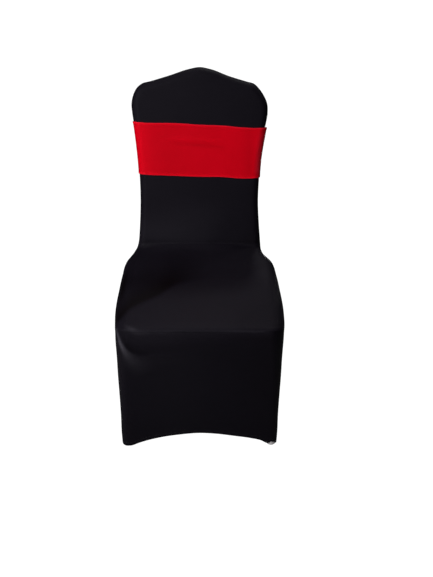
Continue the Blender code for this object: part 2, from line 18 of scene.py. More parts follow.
import bmesh
import bpy
import numpy as np
from mathutils.kdtree import KDTree
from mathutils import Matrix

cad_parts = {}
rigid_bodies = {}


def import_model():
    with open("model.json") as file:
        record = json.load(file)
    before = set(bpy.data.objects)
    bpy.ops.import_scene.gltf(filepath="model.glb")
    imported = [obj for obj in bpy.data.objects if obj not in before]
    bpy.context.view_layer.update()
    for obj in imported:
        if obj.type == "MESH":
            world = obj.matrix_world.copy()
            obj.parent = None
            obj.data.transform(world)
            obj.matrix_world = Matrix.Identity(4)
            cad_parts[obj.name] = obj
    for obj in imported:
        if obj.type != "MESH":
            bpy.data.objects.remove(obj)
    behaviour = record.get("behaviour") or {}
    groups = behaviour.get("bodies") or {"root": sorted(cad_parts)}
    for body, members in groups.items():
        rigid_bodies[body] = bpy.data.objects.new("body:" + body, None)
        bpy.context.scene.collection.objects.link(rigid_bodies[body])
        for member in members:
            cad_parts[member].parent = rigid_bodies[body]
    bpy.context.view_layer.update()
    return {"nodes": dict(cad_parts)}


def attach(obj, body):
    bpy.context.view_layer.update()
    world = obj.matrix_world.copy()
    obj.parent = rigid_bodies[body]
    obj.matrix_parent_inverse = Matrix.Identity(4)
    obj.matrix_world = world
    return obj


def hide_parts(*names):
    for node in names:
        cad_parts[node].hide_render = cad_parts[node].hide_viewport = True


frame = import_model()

print("frame:", ", ".join(sorted(frame["nodes"])))

# %% [markdown]
# ## Camera
#
# The cover is seen from shoulder height, a little more than a metre in front of the seat and
# looking down on it. A shift of the lens frames it without tilting the uprights further.

# %% Camera
SEAT_FRONT = -0.27594  # where the seat's front edge lies along y; y below is measured back from it
EYE_AWAY = 1.226  # in front of the seat's front edge
EYE_HEIGHT = 1.396
EYE_DOWN = 36.94  # degrees below the level
SENSOR = 24.0  # millimetres, as is the lens
LENS = 25.447487
LENS_SHIFT = (0.0294627, 0.0601386)
FARTHEST = 60.0  # the floor's size, and how far the camera sees


def add_object(name, data):
    made = bpy.data.objects.new(name, data)
    bpy.context.scene.collection.objects.link(made)
    return made


eye = add_object("camera", bpy.data.cameras.new("camera"))
eye.location = (0.0, SEAT_FRONT - EYE_AWAY, EYE_HEIGHT)
eye.rotation_euler = (math.radians(90.0 - EYE_DOWN), 0.0, 0.0)
eye.data.sensor_fit = "VERTICAL"
eye.data.sensor_height = SENSOR
eye.data.lens = LENS
eye.data.shift_x, eye.data.shift_y = LENS_SHIFT
eye.data.clip_end = FARTHEST
bpy.context.scene.camera = eye
print("camera lens", round(LENS, 2), "mm")

# %% [markdown]
# ## The chair's shape under the cloth
#
# A fitted cover has no pattern of its own to see: its shape is the chair's. The back is a slab
# that leans and has a half-round edge, and the seat is a flat cushion with rounded sides. Each
# outline is kept as a short table of places, and a smooth curve is drawn through the rows. All
# lengths are in metres.

# %% Sizes of the back
EDGE_RADIUS = 0.022
LEAN = math.atan(0.30)
CROWN_Y = 0.5424
CROWN_Z = 0.9480
FRONT_SWELL = 0.0035
REAR_SWELL = 0.0014
SHOULDER_Z = 0.8950
UPRIGHT_ROWS = 9  # rows of each edge table that lie below the shoulder

LEFT_EDGE = {
    "x": (-0.1820, -0.1775, -0.1742, -0.1738, -0.1780, -0.1842, -0.1898, -0.1908,
          -0.1855, -0.1748, -0.1590, -0.1370, -0.0810, -0.0260, 0.0),
    "z": (0.4900, 0.5400, 0.6000, 0.6500, 0.7350, 0.7950, 0.8360, 0.8560,
          0.8780, 0.8965, 0.9080, 0.9133, 0.9283, 0.9441, 0.9480),
}
RIGHT_EDGE = {
    "x": (0.1825, 0.1772, 0.1730, 0.1734, 0.1775, 0.1862, 0.1922, 0.1902,
          0.1808, 0.1682, 0.1515, 0.1300, 0.0840, 0.0280, 0.0),
    "z": (0.4900, 0.5400, 0.6000, 0.6500, 0.7350, 0.7950, 0.8360, 0.8560,
          0.8760, 0.8925, 0.9070, 0.9128, 0.9253, 0.9437, 0.9480),
}
print("back is", round(CROWN_Z, 3), "m high at mid thickness")

# %% Sizes of the seat
SEAT_RUN = {  # middle line of the inside panel, from the foot of the back to the front edge
    "y": (0.3840, 0.3796, 0.3720, 0.3580, 0.3350, 0.2950, 0.2500,
          0.2100, 0.1300, 0.0500, 0.0200, 0.0080, 0.0020, 0.0000),
    "z": (0.4963, 0.4840, 0.4772, 0.4733, 0.4692, 0.4618, 0.4545,
          0.4526, 0.4525, 0.4524, 0.4517, 0.4502, 0.4472, 0.4440),
}
SIDE_SEAM = {  # where the inside panel ends at the seat's side, for places along its middle line
    "run_y": (0.3840, 0.3740, 0.3550, 0.3200, 0.2700, 0.2100, 0.1300, 0.0800, 0.0350, 0.0000),
    "left_x": (0.1820, 0.1855, 0.1965, 0.2172, 0.2248, 0.2275, 0.2281, 0.2262, 0.2230, 0.2208),
    "right_x": (0.1825, 0.1830, 0.1890, 0.2150, 0.2245, 0.2275, 0.2283, 0.2266, 0.2242, 0.2217),
    "y": (0.4050, 0.3930, 0.3720, 0.3350, 0.2800, 0.2150, 0.1370, 0.0950, 0.0620, 0.0450),
    "z": (0.4900, 0.4740, 0.4580, 0.4430, 0.4325, 0.4280, 0.4270, 0.4265, 0.4255, 0.4250),
    "edge": (0.0220, 0.0230, 0.0260, 0.0310, 0.0360, 0.0400, 0.0420, 0.0420, 0.0420, 0.0420),
}
JOIN_RUN = 0.045  # length over which the seat takes up the back's own edge
CORNER_RUN = 0.10  # how far back the seat's rounded edge starts to turn into its front corner
CORNER_POWER = 1.5
SEAT_SWELL = {  # how much the seat's middle swells above its sides
    "y": (0.0, 0.03, 0.10, 0.25, 0.34, 0.384),
    "height": (0.0, 0.0012, 0.0030, 0.0030, 0.0018, 0.0035),
}
SWEEP_LINE = {  # behind this slanting line the cloth leaves the cushion and is drawn up to the back
    "x": (-0.230, -0.200, -0.188, -0.172, -0.145, -0.112, -0.070,
          -0.030, 0.010, 0.080, 0.125, 0.155, 0.230),
    "y": (0.040, 0.060, 0.086, 0.105, 0.127, 0.154, 0.202,
          0.224, 0.233, 0.230, 0.233, 0.262, 0.290),
}
SWEEP_FOOT_Y = 0.384
SWEEP_LEVEL = 0.4525  # the level middle of the seat
SWEEP_RISE = 0.036
SWEEP_POWER = 1.3
SWEEP_BLEND = 0.004  # how softly the drawn cloth meets the cushion's own line near the back
SWEEP_HOLD = 4  # how sharply the sides hold the cloth down
print("seat is", SWEEP_LEVEL, "m high")

# %% Sizes of the skirts
FRONT = {  # by height: face, side, and the rounding of the corner across and along
    "z": (0.0000, 0.0420, 0.1200, 0.2000, 0.2600, 0.3460, 0.3850, 0.4000, 0.4200, 0.4350, 0.4440),
    "face_y": (0.0180, 0.0174, 0.0128, 0.0090, 0.0060, 0.0005, -0.0030, -0.0045, -0.0050, -0.0030, 0.0),
    "side_x": (0.2320, 0.2315, 0.2281, 0.2265, 0.2255, 0.2230, 0.2224, 0.2222, 0.2217, 0.2217, 0.2217),
    "across": (0.0176, 0.0178, 0.0205, 0.0240, 0.0265, 0.0310, 0.0350, 0.0370, 0.0400, 0.0415, 0.0420),
    "along": (0.0176, 0.0180, 0.0240, 0.0320, 0.0360, 0.0430, 0.0460, 0.0480, 0.0500, 0.0480, 0.0450),
}
REAR = {
    "z": (0.0000, 0.0400, 0.1200, 0.2500, 0.3500, 0.4000, 0.4500, 0.4840, 0.5200),
    "face_y": (0.4656, 0.4650, 0.4530, 0.4320, 0.4210, 0.4188, 0.4200, 0.4262, 0.4370),
    "side_x": (0.2070, 0.2062, 0.2030, 0.1990, 0.1950, 0.1920, 0.1875, 0.1840, 0.1800),
    "across": (0.0176, 0.0178, 0.0200, 0.0215, 0.0220, 0.0220, 0.0220, 0.0220, 0.0220),
    "along": (0.0176, 0.0180, 0.0200, 0.0220, 0.0235, 0.0235, 0.0225, 0.0211, 0.0211),
}
FRONT_HEM = {
    "x": (-0.2320, -0.2144, -0.1990, -0.1840, -0.1600, -0.1120, -0.0640, 0.0,
          0.0550, 0.1030, 0.1510, 0.1850, 0.1990, 0.2032, 0.2092, 0.2166, 0.2212, 0.2320),
    "z": (0.0010, 0.0010, 0.0024, 0.0084, 0.0160, 0.0268, 0.0334, 0.0394,
          0.0366, 0.0312, 0.0268, 0.0205, 0.0132, 0.0130, 0.0174, 0.0190, 0.0165, 0.0010),
}
SIDE_HEM = {
    "share": (0.00, 0.04, 0.10, 0.25, 0.50, 0.75, 0.90, 0.96, 1.00),
    "z": (0.0010, 0.0018, 0.0095, 0.0240, 0.0330, 0.0250, 0.0100, 0.0020, 0.0010),
}
REAR_HEM = {
    "x": (-0.2070, -0.1822, -0.1573, -0.1035, 0.0, 0.1035, 0.1573, 0.1822, 0.2070),
    "z": (0.0010, 0.0018, 0.0090, 0.0220, 0.0310, 0.0225, 0.0090, 0.0018, 0.0010),
}
FRONT_DRAW = {"bow": 0.016, "half_width": 0.205, "settle": 0.05}
REAR_DRAW = {"bow": 0.010, "half_width": 0.180, "settle": 0.08}
BOW_POWER = 2.2
SIDE_HEM_BOW = 0.012
print("front hem rises to", max(FRONT_HEM["z"]), "m between the feet")

# %% [markdown]
# ## Curves
#
# A smooth curve through a table could be a Bezier object, but the panels need many values from
# the same few rows, so plain arrays are easier. The slope at each row comes from its two
# neighbours, and between rows the curve is a cubic.

# %% Curve helpers
def smooth(knots, values, at):
    knots, values, at = (np.asarray(part, float) for part in (knots, values, at))
    if knots[0] > knots[-1]:
        knots, values = knots[::-1], values[::-1]
    gap = np.diff(knots)
    slope = np.diff(values) / gap
    tangent = np.empty_like(values)
    tangent[1:-1] = (slope[:-1] * gap[1:] + slope[1:] * gap[:-1]) / (gap[1:] + gap[:-1])
    tangent[0] = 1.5 * slope[0] - 0.5 * tangent[1]
    tangent[-1] = 1.5 * slope[-1] - 0.5 * tangent[-2]
    span = np.clip(np.searchsorted(knots, at, side="right") - 1, 0, len(gap) - 1)
    f = np.clip((at - knots[span]) / gap[span], 0.0, 1.0)
    rise = values[span] * (1 + 2 * f) * (1 - f) ** 2
    rise += values[span + 1] * f * f * (3 - 2 * f)
    rise += tangent[span] * gap[span] * f * (1 - f) ** 2
    rise -= tangent[span + 1] * gap[span] * f * f * (1 - f)
    return rise


def from_table(table, key, column, at):
    return smooth(table[key], table[column], at)


def run_length(points):
    steps = np.linalg.norm(np.diff(points, axis=0), axis=1)
    return np.concatenate([[0.0], np.cumsum(steps)])


def dense_curve(columns, per_span=120):
    points = np.stack([np.asarray(column, float) for column in columns], axis=1)
    knots = run_length(points)
    spans = [np.linspace(a, b, per_span + 1) for a, b in zip(knots[:-1], knots[1:])]
    at = np.unique(np.concatenate(spans))
    return np.stack([smooth(knots, points[:, i], at) for i in range(points.shape[1])], axis=1)


def unit(vectors):
    return vectors / np.maximum(np.linalg.norm(vectors, axis=-1, keepdims=True), 1e-12)


def ease(share):
    """Falls smoothly from 1 to 0 as the share goes from 0 to 1."""
    share = np.clip(share, 0.0, 1.0)
    return 1.0 - share * share * (3 - 2 * share)


def step(distance, softness):
    """0 far below the line, 1 far beyond it."""
    return 0.5 + 0.5 * np.tanh(distance / softness)


print("height of the front hem at its middle:", float(from_table(FRONT_HEM, "x", "z", [0.0])[0]))

# %% [markdown]
# ## Where the points go
#
# Cloth that is drawn tight is smooth, so its panels need few points in the middle. Near a seam
# the cloth turns in over a millimetre or two, and near a hem it has stitch lines and a fold.
# Rows of points are set closer together there, and nowhere else.

# %% Places along each direction
SEAM_STEPS = (0.0, 0.0004, 0.0008, 0.0012, 0.0017, 0.0024, 0.0034, 0.0048)
STITCH_LINES = (0.0125, 0.0159)
HEM_STEPS = (0.0, 0.00025, 0.0005, 0.0008, 0.0012, 0.0020, 0.0040, 0.0070, 0.0100, 0.0113, 0.0119,
             0.0125, 0.0131, 0.0137, 0.0143, 0.0149, 0.0154, 0.0159, 0.0164, 0.0170, 0.0180, 0.0200)
SKIRT_DROP = 0.42
EDGE_ARC = EDGE_RADIUS * math.pi / 2
ACROSS = 92
EDGE_STEPS = 12
BACK_ROWS = 110
SEAT_ROWS = 104
SKIRT_ROWS = 88
EDGE_CROWDING = 0.03
SEAT_CROWDING = 0.028
SHARPEST_BEND = 120.0
CROWD_ROOM = 1.4  # even places start this many times as far in as the last close one


def crowded(even, start=(), end=()):
    """Rising places, with closer ones put in near the start or the end."""
    first, last = even[0], even[-1]
    if start:
        even = even[even > first + CROWD_ROOM * max(start)]
    if end:
        even = even[even < last - CROWD_ROOM * max(end)]
    parts = [first + np.array(start), even, last - np.array(end), [first, last]]
    return np.unique(np.round(np.concatenate(parts), 9))


edge_at = crowded(np.linspace(0.0, EDGE_ARC, EDGE_STEPS + 1), end=SEAM_STEPS)
EDGE_SHARES = edge_at / edge_at[-1]
level_at = crowded(np.linspace(0.0, SKIRT_DROP, SKIRT_ROWS + 1), SEAM_STEPS, HEM_STEPS)
LEVELS = level_at / SKIRT_DROP


def bending(points):
    """How sharply a fine curve turns, as one over its radius."""
    along = unit(np.gradient(points, axis=0))
    step = np.linalg.norm(np.gradient(points, axis=0), axis=1)
    return np.linalg.norm(np.gradient(along, axis=0), axis=1) / np.maximum(step, 1e-9)


def spread(rows, count, crowding, start=(), end=()):
    """Picks rows along a fine curve, closer together at its bends and near chosen ends."""
    length = run_length(rows[:, :2])
    weight = 1.0 + crowding * np.minimum(bending(rows[:, :2]), SHARPEST_BEND)
    heavy = np.concatenate([[0.0], np.cumsum(np.diff(length) * (weight[:-1] + weight[1:]) / 2)])
    even = np.interp(np.linspace(0.0, heavy[-1], count + 1), heavy, length)
    at = crowded(even, start, end)
    return np.stack([np.interp(at, length, column) for column in rows.T], axis=1)


print("rows down a skirt:", len(LEVELS))

# %% [markdown]
# ## The back
#
# The back is worked out on a flat drawing first, as x and the drop from the crown, and that
# drawing is then leant back. The face is the drawing inset by the edge's radius, and the
# rounded edge is a quarter turn from the face to the seam at mid thickness.

# %% Back
def slab(x, drop, out):
    x, drop, out = np.broadcast_arrays(x, drop, out)
    y = CROWN_Y - drop * math.sin(LEAN) - out * math.cos(LEAN)
    z = CROWN_Z - drop * math.cos(LEAN) + out * math.sin(LEAN)
    return np.stack([x, y, z], axis=-1)


def drop_at(z):
    return (CROWN_Z - np.asarray(z)) / math.cos(LEAN)


def edge_samples():
    """Outline points and their outward directions: left side, crown and right side."""
    x = np.concatenate([LEFT_EDGE["x"], RIGHT_EDGE["x"][-2::-1]])
    z = np.concatenate([LEFT_EDGE["z"], RIGHT_EDGE["z"][-2::-1]])
    points = dense_curve([x, drop_at(z)])
    along = unit(np.gradient(points, axis=0))
    outward = np.stack([along[:, 1], -along[:, 0]], axis=1)
    high = np.nonzero(CROWN_Z - points[:, 1] * math.cos(LEAN) > SHOULDER_Z)[0]
    first, last = high[0], high[-1]
    both = np.concatenate([points, outward], axis=1)
    left = spread(both[: first + 1], BACK_ROWS, EDGE_CROWDING)[::-1]
    top = spread(both[first : last + 1], ACROSS, EDGE_CROWDING)
    right = spread(both[last:], BACK_ROWS, EDGE_CROWDING)
    return left, top, right


def turn():
    """How far a rounded edge has gone out and down, at each of its steps."""
    angle = EDGE_SHARES * math.pi / 2
    return np.sin(angle), 1.0 - np.cos(angle)


def edge_round(rows, side):
    """The rounded edge from the flat face (side 1 in front, -1 behind) to the seam."""
    sine, versed = turn()
    reach = EDGE_RADIUS * (1.0 - sine)[None, :]
    x = rows[:, 0:1] - rows[:, 2:3] * reach
    drop = rows[:, 1:2] - rows[:, 3:4] * reach
    points = slab(x, drop, side * EDGE_RADIUS * (1.0 - versed)[None, :])
    unrolled = EDGE_RADIUS * (1.0 - EDGE_SHARES * math.pi / 2)[None, :, None]
    return points, rows[:, None, :2] - rows[:, None, 2:] * unrolled


def face_grid(left, top, right, side, swell):
    """The flat of the back inside its rounded edge, as rows from the crown to the join."""
    a, t, b = (rows[:, :2] - rows[:, 2:] * EDGE_RADIUS for rows in (left, top, right))
    u = np.linspace(0.0, 1.0, len(top))[None, :, None]
    v = np.linspace(0.0, 1.0, len(left))[:, None, None]
    base = a[-1][None, :] * (1 - u[0]) + b[-1][None, :] * u[0]
    flat = (1 - v) * t[None, :, :] + v * base[None, :, :]
    flat = flat + (1 - u) * a[:, None, :] + u * b[:, None, :]
    flat = flat - (1 - u) * ((1 - v) * a[0] + v * a[-1]) - u * ((1 - v) * b[0] + v * b[-1])
    rise = swell * (1 - (2 * u[..., 0] - 1) ** 2) * (1 - (1 - v[..., 0]) ** 3)
    return slab(flat[..., 0], flat[..., 1], side * (EDGE_RADIUS + rise)), flat


left, top, right = edge_samples()
print("outline:", len(left), "rows down each side,", len(top), "over the crown")

# %% [markdown]
# ## The seat
#
# The inside panel runs on from the back, round the bend and over the cushion to its front edge.
# A middle line gives its height, and each side rolls over into the seat's side seam.

# %% Seat
def seat_run():
    line = dense_curve([SEAT_RUN["y"], SEAT_RUN["z"]])
    rows = np.concatenate([line, np.gradient(line, axis=0)], axis=1)
    rows = spread(rows, SEAT_ROWS, SEAT_CROWDING, SEAM_STEPS, SEAM_STEPS)
    along = unit(rows[:, 2:])
    return rows[:, :2], np.stack([along[:, 1], -along[:, 0]], axis=1)


def seat_sweep(x, y, z, half_width):
    """How far the cloth that is drawn up to the back stands above the cushion's own line."""
    start = from_table(SWEEP_LINE, "x", "y", x)
    share = np.clip((y - start) / (SWEEP_FOOT_Y - start), 0.0, 1.0)
    drawn = SWEEP_LEVEL + SWEEP_RISE * share**SWEEP_POWER
    higher = 0.5 * (z + drawn + np.hypot(z - drawn, SWEEP_BLEND * share**2))
    held = 1.0 - np.minimum(np.abs(x) / half_width, 1.0) ** SWEEP_HOLD
    return np.where(share > 0, (higher - z) * held, 0.0)


def side_sections(side):
    """Rounded edge of the seat at one side: rows by steps, from the flat to the side seam."""
    run, normal = seat_run()
    y = run[:, 0]
    across_name = "left_x" if side < 0 else "right_x"
    columns = [from_table(SIDE_SEAM, "run_y", name, y) for name in (across_name, "y", "z")]
    rim = np.stack(columns, axis=1)
    inner = np.stack([rim[:, 0] - from_table(SIDE_SEAM, "run_y", "edge", y), y, run[:, 1]], axis=1)
    face = np.stack([np.zeros(len(y)), normal[:, 0], normal[:, 1]], axis=1)
    across = rim - inner
    fall = np.sum(across * face, axis=1, keepdims=True) * face
    level = across - fall
    swing = np.clip(1.0 - y / CORNER_RUN, 0.0, 1.0)[:, None, None] ** CORNER_POWER
    sine, versed = (part[None, :, None] for part in turn())
    sideways = level * np.array([1.0, 0.0, 0.0])
    lengthways = level - sideways
    points = inner[:, None, :] + sideways[:, None, :] * sine + fall[:, None, :] * versed
    points = points + lengthways[:, None, :] * ((1 - swing) * sine + swing * versed)
    points[..., 0] *= side
    return points


def seat_grid(left_side, right_side):
    """Rows of the seat between its two rounded sides."""
    run, normal = seat_run()
    u = np.linspace(0.0, 1.0, ACROSS + 1)[None, :]
    x = left_side[:, 0, 0][:, None] * (1 - u) + right_side[:, 0, 0][:, None] * u
    height = np.interp(run[:, 0], SEAT_SWELL["y"], SEAT_SWELL["height"])
    lift = height[:, None] * (1 - (2 * u - 1) ** 2)
    y = run[:, :1] + lift * normal[:, :1]
    z = run[:, 1:] + lift * normal[:, 1:]
    half_width = np.where(x < 0, -left_side[:, :1, 0], right_side[:, :1, 0])
    z = z + seat_sweep(x, run[:, :1], run[:, 1:], half_width)
    return np.stack([x, y, z], axis=-1)


seat_length = run_length(seat_run()[0])
print("seat run:", round(seat_length[-1], 3), "m in", len(seat_length), "rows")

# %% [markdown]
# ## The skirts
#
# The front skirt and the lower outside back hang from one row of points to an arched hem. The
# side skirts fill the space between four edges that already exist, so each is a Coons patch:
# a sum of two straight blends less the blend of the corners.

# %% Skirts
def wrap_round():
    """Across a front or rear panel: its flat, and the rounding of its corners out and along."""
    sine, versed = turn()
    none, ones = np.zeros(ACROSS + 1), np.ones(len(sine) - 1)
    flat = np.concatenate([-ones, np.linspace(-1.0, 1.0, ACROSS + 1), ones])
    out = np.concatenate([-sine[:0:-1], none, sine[1:]])
    along = np.concatenate([versed[:0:-1], none, versed[1:]])
    return flat, out, along


def hanging_panel(head, table, hem_table, draw, backwards):
    """A front or rear panel as rows below its top row. Its corners turn the way of backwards."""
    flat, out, along = wrap_round()
    level = LEVELS[:, None]

    def shape(z):
        side, face, across, reach = (
            from_table(table, "z", name, z) for name in ("side_x", "face_y", "across", "along")
        )
        x = flat * (side - across) + out * across
        return np.stack([x, face + backwards * along * reach, z], axis=-1)

    foot_x = shape(np.zeros(len(flat)))[:, 0]
    hem = from_table(hem_table, "x", "z", foot_x)
    z = head[:, 2] * (1 - level) + hem * level
    keep = ease((head[:, 2] - z) / draw["settle"])[..., None]
    points = shape(z) + keep * (head - shape(head[:, 2]))
    bow = draw["bow"] * (1 - np.minimum(np.abs(foot_x) / draw["half_width"], 1.0) ** 2)
    points[..., 1] += backwards * bow * level**BOW_POWER
    points[0] = head
    return points


def side_skirt(seam, front_edge, rear_edge, side):
    """The side skirt between the seat's side seam, the front seam, the rear seam and its hem."""
    run = (seam[:, 1] - front_edge[0, 1]) / (seam[0, 1] - front_edge[0, 1])
    start, end = front_edge[-1], rear_edge[-1]
    hem = start[None, :] * (1 - run)[:, None] + end[None, :] * run[:, None]
    hem[:, 2] = from_table(SIDE_HEM, "share", "z", run)
    hem[:, 0] -= side * SIDE_HEM_BOW * (1 - (2 * run - 1) ** 2)
    hem[0], hem[-1] = end, start
    height = front_edge[:, 2]
    level = ((height - height[0]) / (height[-1] - height[0]))[:, None, None]
    share = run[None, :, None]
    points = (1 - level) * seam[None] + level * hem[None]
    points = points + (1 - share) * front_edge[:, None] + share * rear_edge[:, None]
    corners = (1 - level) * ((1 - share) * front_edge[0] + share * rear_edge[0])
    corners = corners + level * ((1 - share) * front_edge[-1] + share * rear_edge[-1])
    return points - corners


def grid_uv(points, start=0.0):
    """Cloth lengths across and down a panel, in metres."""
    across = np.linalg.norm(np.diff(points, axis=1), axis=2)
    across = np.concatenate([np.zeros((len(points), 1)), np.cumsum(across, axis=1)], axis=1)
    across = across - across[:, across.shape[1] // 2][:, None]
    down = np.linalg.norm(np.diff(points, axis=0), axis=2)
    down = np.concatenate([np.zeros((1, points.shape[1])), np.cumsum(down, axis=0)], axis=0)
    return np.stack([across, start + down], axis=-1)


print("cloth down a skirt is laid out over", SKIRT_DROP, "m")

# %% [markdown]
# ## Seams, hems and stitch lines
#
# Where two panels are sewn together the cloth dives into the seam, so both sides sink towards
# it. A hem is the cloth's own edge turned up inside: it is two layers thick, its edge is a
# rounded fold, and the stitches pull narrow furrows into it. All of this is a depth below the
# smooth surface and a thickness, worked out from the distance to the seam or the hem.

# %% Depths and thickness
KNIT = 0.0008
SEAM_DEPTH = 0.0010
SEAM_WIDTH = 0.0013
FRONT_SEAM_OPEN = 0.4  # the front seam is pulled nearly flat
HEM_FOLD = 0.0007
HEM_LAP = 0.0012  # how far the turned-up edge goes on beyond the last stitch line
LAP_BLEND = 0.0008
FURROW_DEPTH = 0.00030
FURROW_WIDTH = 0.00055


def seam_depth(distance):
    return SEAM_DEPTH * np.exp(-((distance / SEAM_WIDTH) ** 2))


def fold_roll(distance, radius=HEM_FOLD):
    """How far each face of a folded edge turns in, near the fold."""
    left_over = np.clip(radius - distance, 0.0, radius)
    return radius - np.sqrt(radius**2 - left_over**2)


def furrows(distance, lines):
    return sum(FURROW_DEPTH * np.exp(-(((distance - line) / FURROW_WIDTH) ** 2)) for line in lines)


def hem_layers(distance, lines):
    """Thickness of the cloth near a hem: two layers up to just beyond the last stitch line."""
    doubled = step(lines[-1] + HEM_LAP - distance, LAP_BLEND)
    return KNIT * (1.0 + doubled) - 2 * fold_roll(distance)


hem_distance = SKIRT_DROP - level_at
LEVEL_DEPTH = seam_depth(level_at)
HEM_DEPTH = fold_roll(hem_distance) + furrows(hem_distance, STITCH_LINES)
HEM_THICKNESS = hem_layers(hem_distance, STITCH_LINES)
EDGE_DEPTH = seam_depth(edge_at[-1] - edge_at)
print("cloth is", KNIT * 1000, "mm thick, and its hems", round(HEM_THICKNESS.max() * 1000, 2), "mm")

# %% [markdown]
# ## Folds
#
# The cover is tight, so it has few folds. The strongest is a pull from the left front corner of
# the seat down into the front skirt. Each fold is a line with a height and a width at its
# points, and the cloth rises or sinks by that height, falling off to both sides. A single number
# in place of a row holds for the whole line.

# %% Folds
FOLDS = {
    "corner pull": {
        "x": (-0.215, -0.2069, -0.1998, -0.1907, -0.1793, -0.1629, -0.1438),
        "y": (0.019, 0.0033, -0.0024, -0.004, -0.0038, -0.0003, 0.0046),
        "z": (0.442, 0.4144, 0.3992, 0.3805, 0.3564, 0.3292, 0.2965),
        "height": (0.001, 0.0026, 0.0034, 0.0036, 0.003, 0.0016, 0.0),
        "width": (0.005, 0.007, 0.009, 0.012, 0.017, 0.024, 0.03),
    },
    "hollow above the pull": {
        "x": (-0.201, -0.1972, -0.1907, -0.1842, -0.1724, -0.1549, -0.129),
        "y": (0.012, -0.0026, -0.0047, -0.003, -0.0015, -0.0012, -0.0016),
        "z": (0.445, 0.4321, 0.4143, 0.3997, 0.3851, 0.377, 0.375),
        "height": (-0.0004, -0.0014, -0.002, -0.002, -0.0016, -0.001, 0.0),
        "width": (0.005, 0.006, 0.007, 0.008, 0.009, 0.01, 0.01),
    },
    "corner of the cushion": {
        "x": (-0.196, -0.185, -0.17, -0.155, -0.12), "y": (0.03, 0.016, 0.006, 0.001, 0.0),
        "z": (0.452, 0.4515, 0.448, 0.443, 0.442), "height": (0.0, 0.001, 0.0016, 0.001, 0.0),
        "width": 0.006,
    },
    "lower edge of the cushion": {
        "x": (-0.16, -0.13, -0.07, 0.01), "y": (-0.002, -0.002, -0.0025, -0.003),
        "z": (0.365, 0.364, 0.367, 0.372), "height": (0.0, 0.001, 0.0006, 0.0),
        "width": (0.008, 0.008, 0.009, 0.01),
    },
}


LINE_STEPS = 24  # points between one place of a line and the next
LINE_REACH = 3.0  # widths at which a line has fallen off to almost nothing


SHIFT = np.array([0.0, SEAT_FRONT, 0.0])  # from places in the tables to places in the frame


def along_lines(points, lines, value):
    """Adds up each line's value at each point, falling off to both sides by the line's width."""
    points = points - SHIFT
    total = np.zeros(len(points))
    for line in lines.values():
        columns = (line[name] for name in ("x", "y", "z", value, "width"))
        rows = np.stack(np.broadcast_arrays(*columns), axis=1)
        fine = np.concatenate([np.linspace(a, b, LINE_STEPS) for a, b in zip(rows[:-1], rows[1:])])
        reach = LINE_REACH * rows[:, 4].max()
        low, high = fine[:, :3].min(axis=0) - reach, fine[:, :3].max(axis=0) + reach
        near = np.nonzero(((points > low) & (points < high)).all(axis=1))[0]
        away = np.linalg.norm(points[near, None, :] - fine[None, :, :3], axis=2)
        pick = np.argmin(away, axis=1)
        share = away[np.arange(len(near)), pick] / fine[pick, 4]
        total[near] += fine[pick, 3] * np.exp(-(share**2))
    return total


print("folds:", ", ".join(FOLDS))
